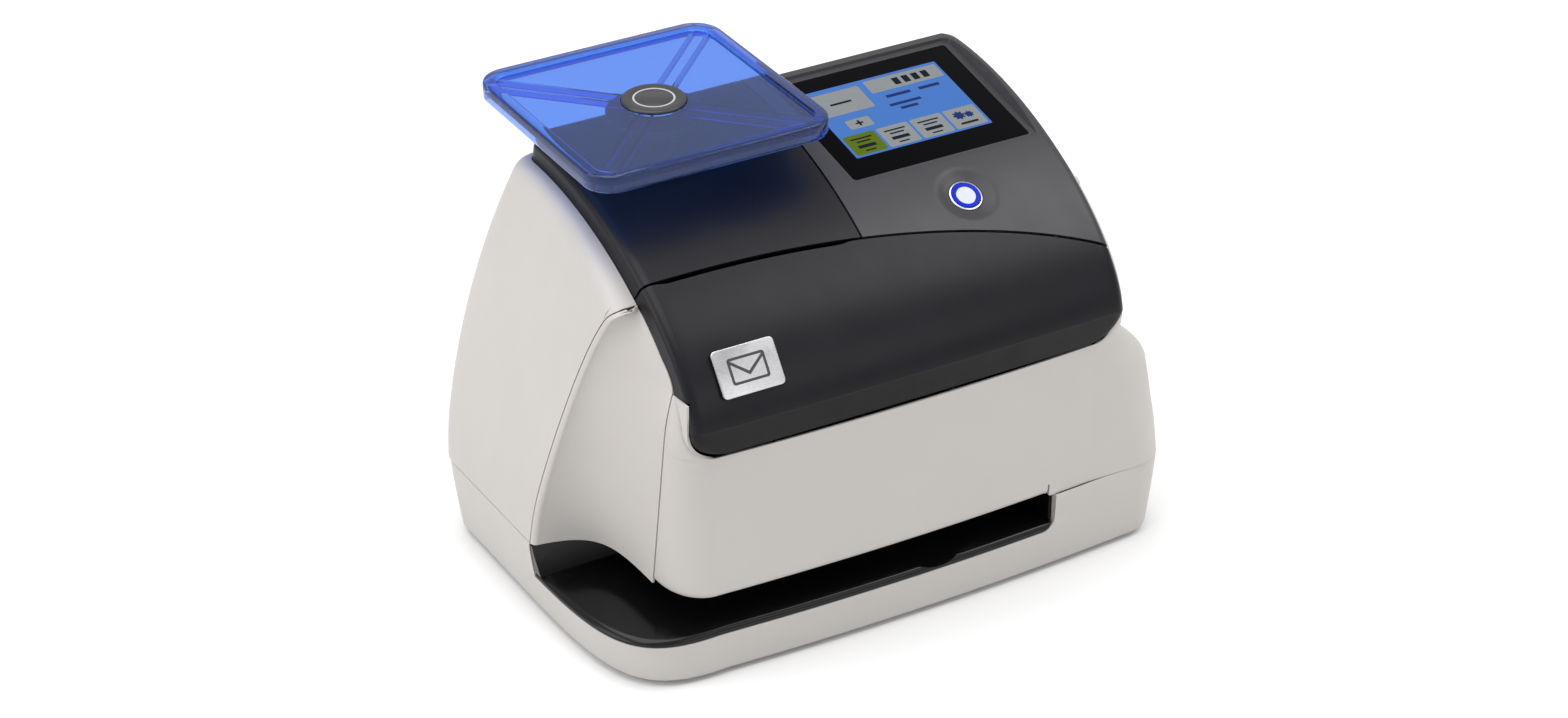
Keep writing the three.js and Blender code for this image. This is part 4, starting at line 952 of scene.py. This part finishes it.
def cover_surface(left_limit, right_limit, lower=None):
    """v from 0 to 1 climbs the ridge, and higher rows go down the rear wall."""
    middle_t = seam_t(mix(left_limit, right_limit, 0.5), SEAM_HALF)
    ends = (left_limit == TOP_LEFT, right_limit == TOP_RIGHT)

    def surface(column, v):
        rear = max(0, round(v - 1))
        y = ridge(mix(middle_t, 1, v))[0] if v <= 1 else RIDGE[3][0] + REAR_LINE[rear][0]
        inset = round_off(TOP_REAR - y, REAR_CORNER)
        left, right = left_limit + inset * ends[0], right_limit - inset * ends[1]
        x, depth = column_place(column, left, right, ends)
        if v > 1:
            return x, y, TOP - max(depth, REAR_LINE[rear][1])
        t = mix(seam_t(x, SEAM_HALF), 1, v)
        return top_point(x, t, depth + (lower(x, t) if lower else 0))

    return surface


def cover_rows(count):
    return steps(0, 1, count) + [k + 1 for k in range(1, len(REAR_LINE))]


def tilted_frame(origin, c, s):
    """A frame at origin turned about x, by the angle with cosine c and sine s."""
    x, y, z = origin
    return Matrix(((1, 0, 0, x), (0, c, -s, y), (0, s, c, z), (0, 0, 0, 1)))


def top_frame(x, t):
    """A frame on the dark top: x across, y up the slope, z out of the surface."""
    return tilted_frame(top_point(x, t, 0), *ridge_tangent(t))


def make_flap():
    bevel = RIDGE[0][1] - FLAP_EDGE[1]
    corner = [FLAP_CORNER * (1 - cos(a)) / bevel - 1 for a in steps(0, QUARTER * 0.98, 14)]
    crease = [-0.08, -0.03, 0.003, 0.012, 0.025, 0.045]
    rows = [row for row in corner if row < -0.12] + crease + steps(0.07, 1, 36)
    flap = skin("front_flap", cover_columns(True, True, 60), rows, flap_surface)
    cut(flap, box("shallow_edge", (TOP_LEFT - 1, -96, 100), (-113, -60, JOINT_TOP + GAP)))
    dress(flap, DARK, ["front_flap"], "flap", edge=0.5)
    # Faces below the crease get the darker copy: painted shade on the flap's downward-facing lower band.
    flap.data.materials.append(DARK_PAINTED_SHADE_EDGE)
    for face in flap.data.polygons:
        if face.center.z < (RIDGE[0][1] - 0.2) * MM:
            face.material_index = 1
    for name, x in (("left", -HINGE_X), ("right", HINGE_X)):
        make_flap_arm(f"flap_arm_{name}", x)


def make_flap_arm(name, x):
    """A gooseneck arm from the flap's inside to its hinge pin."""
    y, z = FLAP_AXIS
    arm = loft(name, [[(x + side, y + dy, z + dz) for dy, dz in ARM_OUTLINE] for side in (-2, 2)])
    axis = Matrix(((0, 0, 1, x), (1, 0, 0, y), (0, 1, 0, z), (0, 0, 0, 1)))
    join(arm, lathe("boss", [(1.9, -2.6), (3.4, -2.6), (3.4, 2.6), (1.9, 2.6)], 40, axis))
    cut(arm, drum("eye", 1.9, -6, 6, 32, axis))
    dress(arm, DARK, [], "flap", edge=0.3)


def make_badge():
    """A bright plate with the outline of an envelope."""
    matrix = top_frame(BADGE_X, BADGE_T)
    x, y = BADGE_WIDTH / 2, BADGE_HEIGHT / 2
    plate = prism("badge", rounded(-x, -y, x, y, 2.5), GAP + 0.25, GAP + 1.6, matrix, 0.5)
    dress(plate, SILVER, ["badge"], "flap", edge=0)
    x, y, line, low = *ENVELOPE, 1.3, 1.7
    envelope = prism("badge_mark", rounded(-x, -y, x, y, 1.5), low, 2.0, matrix)
    inner = rounded(line - x, line - y, x - line, y - line, 0.6)
    cut(envelope, prism("inside", inner, 1, 3, matrix))
    x, y = x - 1, y - 1
    fold = [(-x, y - 1.7), (0, -3.3), (x, y - 1.7), (x, y), (0, -1.4), (-x, y)]
    join(envelope, prism("fold", fold, low + 0.01, 1.99, matrix))
    dress(envelope, BADGE_MARK, [], "flap", edge=0)


def make_scale_cover():
    surface = cover_surface(TOP_LEFT, COVER_SPLIT - SEAM_HALF)
    cover = skin("scale_cover", cover_columns(True, False, 40), cover_rows(60), surface)
    cut(cover, drum("post_hole", POST_RADIUS + 3, 200, 240, 48, PLATTER_AXIS))
    dress(cover, DARK, ["scale_cover"], edge=0.45)


# ---- control panel
DISPLAY_FRAME = tilted_frame(DISPLAY_ORIGIN, cos(DISPLAY_TILT), sin(DISPLAY_TILT))
BUTTON_FRAME = top_frame(BUTTON_X, seam_t(BUTTON_X, BUTTON_Y - flap_seam(BUTTON_X)))


def display_outline(margin, radius):
    half = DISPLAY_WIDTH / 2 + margin
    return rounded(-half, -margin, half, DISPLAY_DEPTH + margin, radius)


def display_stack(name, *levels):
    """A solid through rings of (margin, z, corner radius) round the display glass."""
    outlines = [(display_outline(margin, radius), z) for margin, z, radius in levels]
    return stack(name, outlines, DISPLAY_FRAME)


def dish(x, t):
    """Depth of the shallow dish round the start button, with a soft rim."""
    distance = (Vector(top_point(x, t, 0)) - BUTTON_FRAME.translation).length
    if distance > DISH_SPHERE * 0.9:
        return 0
    raw = DISH_DEPTH - DISH_SPHERE + sqrt(DISH_SPHERE ** 2 - distance ** 2)
    return (raw + hypot(raw, DISH_SOFTNESS * 2)) / 2 - DISH_SOFTNESS ** 2 / max(0.5, abs(raw))


def make_control_panel():
    surface = cover_surface(COVER_SPLIT + SEAM_HALF, TOP_RIGHT, dish)
    panel = skin("control_panel", cover_columns(False, True, 90), cover_rows(96), surface)
    flat = cover_surface(2, 119)
    thick = skin("thick", [(0, f) for f in steps(0, 1, 12)], steps(0.05, 0.985, 24),
                 lambda u, v: Vector(flat(u, v)) - Vector((0, 0, 0.9)), 8.5)
    margin = DISPLAY_MARGIN
    bound = display_stack("bound", (margin + 3, -3.5, 5), (margin + 3, 30, 5))
    join(panel, combine(thick, bound, "INTERSECT"))
    cut(panel, display_stack("funnel", (margin - 0.5, 0.4, 4), (margin + 2.0, 6, 6), (margin + 13, 30, 12)))
    cut(panel, display_stack("glass_bed", (GAP, -2.1 - GAP, 2), (GAP, 2, 2)))
    cut(panel, display_stack("module_hole", (-5, -20, 1), (-5, 5, 1)))
    cut(panel, drum("button_hole", BUTTON_RADIUS + GAP, -20, 5, 64, BUTTON_FRAME))
    # The panel's lighter grey is painted reflection.
    dress(panel, PANEL_PAINTED_REFLECTION, ["control_panel"], edge=0.5, angle=30)


def make_start_button():
    matrix = BUTTON_FRAME
    inner, outer = 4.9, BUTTON_RADIUS - 1.3
    rim = [(outer + GAP, -7), (BUTTON_RADIUS, -7), *round_over(BUTTON_RADIUS, -1.9, 0.4, 4)]
    rim += [(outer + GAP + 0.2, -1.8), (outer + GAP, -2.0)]
    dress(lathe("button_rim", rim, 96, matrix), SILVER, ["button_rim"], edge=0)
    ring = [(0, -8), (outer, -8), *round_over(outer, -1.3, 0.5, 6)]
    ring += [(inner + GAP + 0.2, -1.3), (inner + GAP, -1.5), (inner + GAP, -6.5), (0, -6.5)]
    ring = lathe("button_ring", ring, 96, matrix)
    dress(ring, RING_LIGHT, ["button_ring"], "start_key", edge=0)
    cap = [(0, -6.2), (inner, -6.2), (inner, -1.8)]
    cap += [(inner * cos(a), -1.6 + 0.6 * sin(a)) for a in quarter(8)[:-1]]
    cap = lathe("start_button", cap + [(0, -1.0)], 96, matrix)
    dress(cap, BUTTON_LIGHT, ["start_button"], "start_key", edge=0)


def on_glass(name, outlines, material, low, high):
    """Flat shapes lying on the display glass; x from the screen's left edge, y up from its front."""
    shift = Matrix.Translation((SCREEN_X - DISPLAY_ORIGIN[0] - SCREEN_WIDTH / 2, SCREEN_FRONT, 0))
    points, faces = [], []
    for outline in outlines:
        count, start = len(outline), len(points)
        points += [(x, y, z) for z in (low, high) for x, y in outline]
        faces.append(tuple(reversed(range(start, start + count))))
        faces.append(tuple(range(start + count, start + 2 * count)))
        faces += wall_faces(start, count)
    shapes = piece(name, points, faces, DISPLAY_FRAME @ shift)
    dress(shapes, material, [], edge=0)


def bar_shape(x, y, width, height):
    return [(x, y), (x + width, y), (x + width, y + height), (x, y + height)]


def gear_shape(x, y, radius):
    """A wheel with eight teeth."""
    reach = (radius, radius, radius * 0.74, radius * 0.74)
    return [arc_point(x, y, 2 * pi * i / 32, reach[i % 4]) for i in range(32)]


def make_display():
    glass = prism("display_glass", display_outline(0, 1.7), -2.1, 0, DISPLAY_FRAME, 0.4)
    dress(glass, GLOSS, ["display_glass"], edge=0)
    width, depth = SCREEN_WIDTH, SCREEN_DEPTH
    on_glass("display_picture", [rounded(0, 0, width, depth, 0.6)], SCREEN_SKY, 0.01, 0.03)
    gap, row = 1.4, 17.5
    key = (width - 5 * gap) / 4
    lefts = [gap + i * (key + gap) for i in range(4)]
    keys = [rounded(left, gap, left + key, row, 1.2) for left in lefts]
    amount = rounded(35, depth - 12.5, width - gap, depth - 2, 0.8)
    preset = rounded(gap, depth - 22, 31, depth - 3.5, 1.2)
    plus = rounded(9.5, row + 4, 23, row + 11.5, 1.2)
    on_glass("display_keys", keys[1:] + [amount, preset, plus], KEY_GREY, 0.03, 0.07)
    on_glass("display_active_key", keys[:1], KEY_GREEN, 0.03, 0.07)
    marks = [bar_shape(15.6, row + 5.6, 1.2, 4.4), bar_shape(14, row + 7.2, 4.4, 1.2)]
    lines = ((3, 13.4, 1.1), (5, 10.8, 1.1), (4, 6.3, 2.4), (6, 3.4, 1.0))
    marks += [bar_shape(left + x, y, key - 2 * x, height) for left in lefts[:3] for x, y, height in lines]
    marks.append(bar_shape(10, depth - 14, 12, 1.5))
    marks += [bar_shape(50 + 5.6 * i, depth - 10.2, 3.6, 5.6) for i in range(4)]
    left = lefts[3]
    marks.append(bar_shape(left + 4, 4, key - 8, 1.6))
    on_glass("display_marks", marks, INK, 0.07, 0.09)
    notes = [bar_shape(40, depth - 18.5, 14, 2.2), bar_shape(59, depth - 18.5, 12, 2.2),
             bar_shape(38, depth - 25.5, 18, 2.0), bar_shape(42, depth - 29.5, 10, 2.0),
             gear_shape(left + 6.5, 11.5, 3.4), gear_shape(left + 12, 10.8, 2.6)]
    on_glass("display_notes", notes, INK_BLUE, 0.08, 0.10)


# ---- weighing platter
def platter_stack(name, levels):
    """A solid through rings of (margin, z) and, where given, the corner radius."""
    outlines = []
    for margin, z, *corner in levels:
        x, y = PLATTER_WIDTH / 2 - margin, PLATTER_DEPTH / 2 - margin
        radius = corner[0] if corner else PLATTER_CORNER - margin
        outline = rounded(PLATTER_X - x, PLATTER_Y - y, PLATTER_X + x, PLATTER_Y + y, radius, 14)
        outlines.append((outline, z))
    return stack(name, outlines)


def make_platter():
    low, top = PLATTER_Z, PLATTER_Z + PLATTER_HEIGHT
    edge = [(1.0, low), (0.35, low + 0.4), (0, low + 1.2), (0, top - 1.2), (0.35, top - 0.4), (1.0, top)]
    platter = platter_stack("weighing_platter", edge)
    rim, floor = 6, low + 7.2
    radius = PLATTER_CORNER - rim
    hollow = [(rim + 0.4, floor, radius), (rim, floor + 0.5, radius), (rim, top + 1, radius)]
    cut(platter, platter_stack("upper", hollow))
    cut(platter, platter_stack("lower", [(2.5, low - 1), (2.5, low + 3.5)]))
    for side in (-1, 1):
        angle = side * atan2(PLATTER_DEPTH, PLATTER_WIDTH)
        turn = PLATTER_AXIS @ Matrix.Rotation(angle, 4, "Z")
        for offset in (-4, 4):
            # Each rib has its own height, so that no two of their faces coincide where they cross.
            ends = low, low + 3.9 - 0.1 * side - 0.01 * offset
            corners = [(-85, offset - 0.8), (85, offset - 0.8), (85, offset + 0.8), (-85, offset + 0.8)]
            rib = prism("rib", corners, *ends, turn)
            combine(rib, platter_stack("bound", [(2, low + 0.3), (2, low + 4)]), "INTERSECT")
            join(platter, rib)
    middle = Matrix.Translation((PLATTER_X, PLATTER_Y, PLATTER_Z))
    for radius, low in ((CAP_RADIUS - 2 + GAP, -2), (CAP_RADIUS + GAP, 5.2)):
        cut(platter, drum("cap_hole", radius, low, 12, 96, middle))
    dress(platter, CLEAR_BLUE, ["weighing_platter"], "platter", edge=0.25)
    top_line = PLATTER_HEIGHT - 0.4
    groove = top_line - 0.25
    cap = [(0, 2.3), (11, 2.3), (11, 5.5), (CAP_RADIUS - 0.2, 5.5), (CAP_RADIUS, 5.8)]
    cap += round_over(CAP_RADIUS, top_line, 1.2, 6)
    cap += [(11.2, top_line), (10.8, groove), (9.2, groove), (8.8, top_line), (0, top_line + 0.05)]
    dress(lathe("platter_cap", cap, 96, middle), CAP, ["platter_cap"], "platter", edge=0)
    line = [(9.5, groove + 0.01), (10.5, groove + 0.01), (10.45, groove + 0.2), (9.55, groove + 0.2)]
    dress(lathe("platter_cap_ring", line, 96, middle), MARK, [], "platter", edge=0)


# ---- inner and small parts
def finish_frame_nodes():
    """Materials of the CAD nodes that keep their own shape."""
    looks = {
        RUBBER: f"{FEET} wiper_blade cap_seal carriage_belt",
        STEEL: "case_screw_front case_screw_rear_right case_screw_rear_left flap_hinge_pin_left "
               "flap_hinge_pin_right guide_rod_front guide_rod_rear latch_pin sensor_pin idler_axle "
               "pressure_spring_left pressure_spring_right chassis_plate carriage_frame_left "
               "carriage_frame_right load_cell_bracket data_port",
        ALUMINIUM: "load_cell carriage_motor",
        INNER: "display_module start_switch print_carriage cartridge_latch capping_cradle "
               "power_supply motor_pulley idler_pulley",
        INNER_BLACK: "power_inlet pressure_plate letter_guide sensor_lever service_tray "
                     "platter_hub ink_cartridge",
        BOARD: "main_board",
        FILM: "display_ribbon encoder_strip",
        FELT: "waste_ink_pad",
    }
    for material, names in looks.items():
        for name in names.split():
            mesh = NODES[name].data
            mesh.materials.clear()
            mesh.materials.append(material)


# ---- stage
def make_stage():
    mesh = bpy.data.meshes.new("floor")
    corners = ((-1, -1), (1, -1), (1, 1), (-1, 1))
    mesh.from_pydata([(x * FLOOR_REACH, y * FLOOR_REACH, 0) for x, y in corners], [], [(0, 1, 2, 3)])
    floor = add_object("floor", mesh)
    material, _, shader = node_tree("pale_floor")
    shader.inputs["Base Color"].default_value = (0.9, 0.9, 0.9, 1)
    shader.inputs["Roughness"].default_value = 0.9
    mesh.materials.append(material)
    world = bpy.data.worlds.new("studio")
    world.use_nodes = True
    background = world.node_tree.nodes["Background"]
    background.inputs["Color"].default_value = (1, 1, 1, 1)
    background.inputs["Strength"].default_value = 0.6
    bpy.context.scene.world = world
    bpy.context.scene.view_settings.view_transform = "Standard"


def make_lights():
    """Four softboxes that face the machine: name, position, size and watts."""
    softboxes = (
        ("top_light", (-0.3, 0.1, 1.7), (1.8, 1.4), 21),
        ("left_light", (-1.7, 0.35, 0.95), (1.2, 1.2), 10.3),
        ("right_light", (1.1, -0.45, 1.6), (1.0, 1.0), 11),
        ("front_light", (0.6, -2.0, 1.1), (1.4, 0.8), 3.4),
    )
    for name, position, size, power in softboxes:
        light = bpy.data.lights.new(name, "AREA")
        light.shape = "RECTANGLE"
        light.size, light.size_y = size
        light.energy = power
        obj = add_object(name, light)
        obj.location = position
        obj.rotation_euler = (LIT_POINT - Vector(position)).to_track_quat("-Z", "Y").to_euler()


def make_camera():
    """Looks at a point right of the middle from the front left, 30 degrees above the horizon."""
    turn, rise = CAMERA_TURN, CAMERA_RISE
    back = Vector((sin(turn) * cos(rise), -cos(turn) * cos(rise), sin(rise)))
    data = bpy.data.cameras.new("camera")
    data.lens = 89.54
    data.sensor_width = 36
    camera = add_object("camera", data)
    camera.location = place(CAMERA_TARGET) + back * CAMERA_DISTANCE
    camera.rotation_euler = (-back).to_track_quat("-Z", "Y").to_euler()
    bpy.context.scene.camera = camera


make_base()
make_deck()
make_rear_shell()
make_scoop()
make_front_casing()
make_flap()
make_badge()
make_scale_cover()
make_control_panel()
make_start_button()
make_display()
make_platter()
finish_frame_nodes()
make_stage()
make_lights()
make_camera()
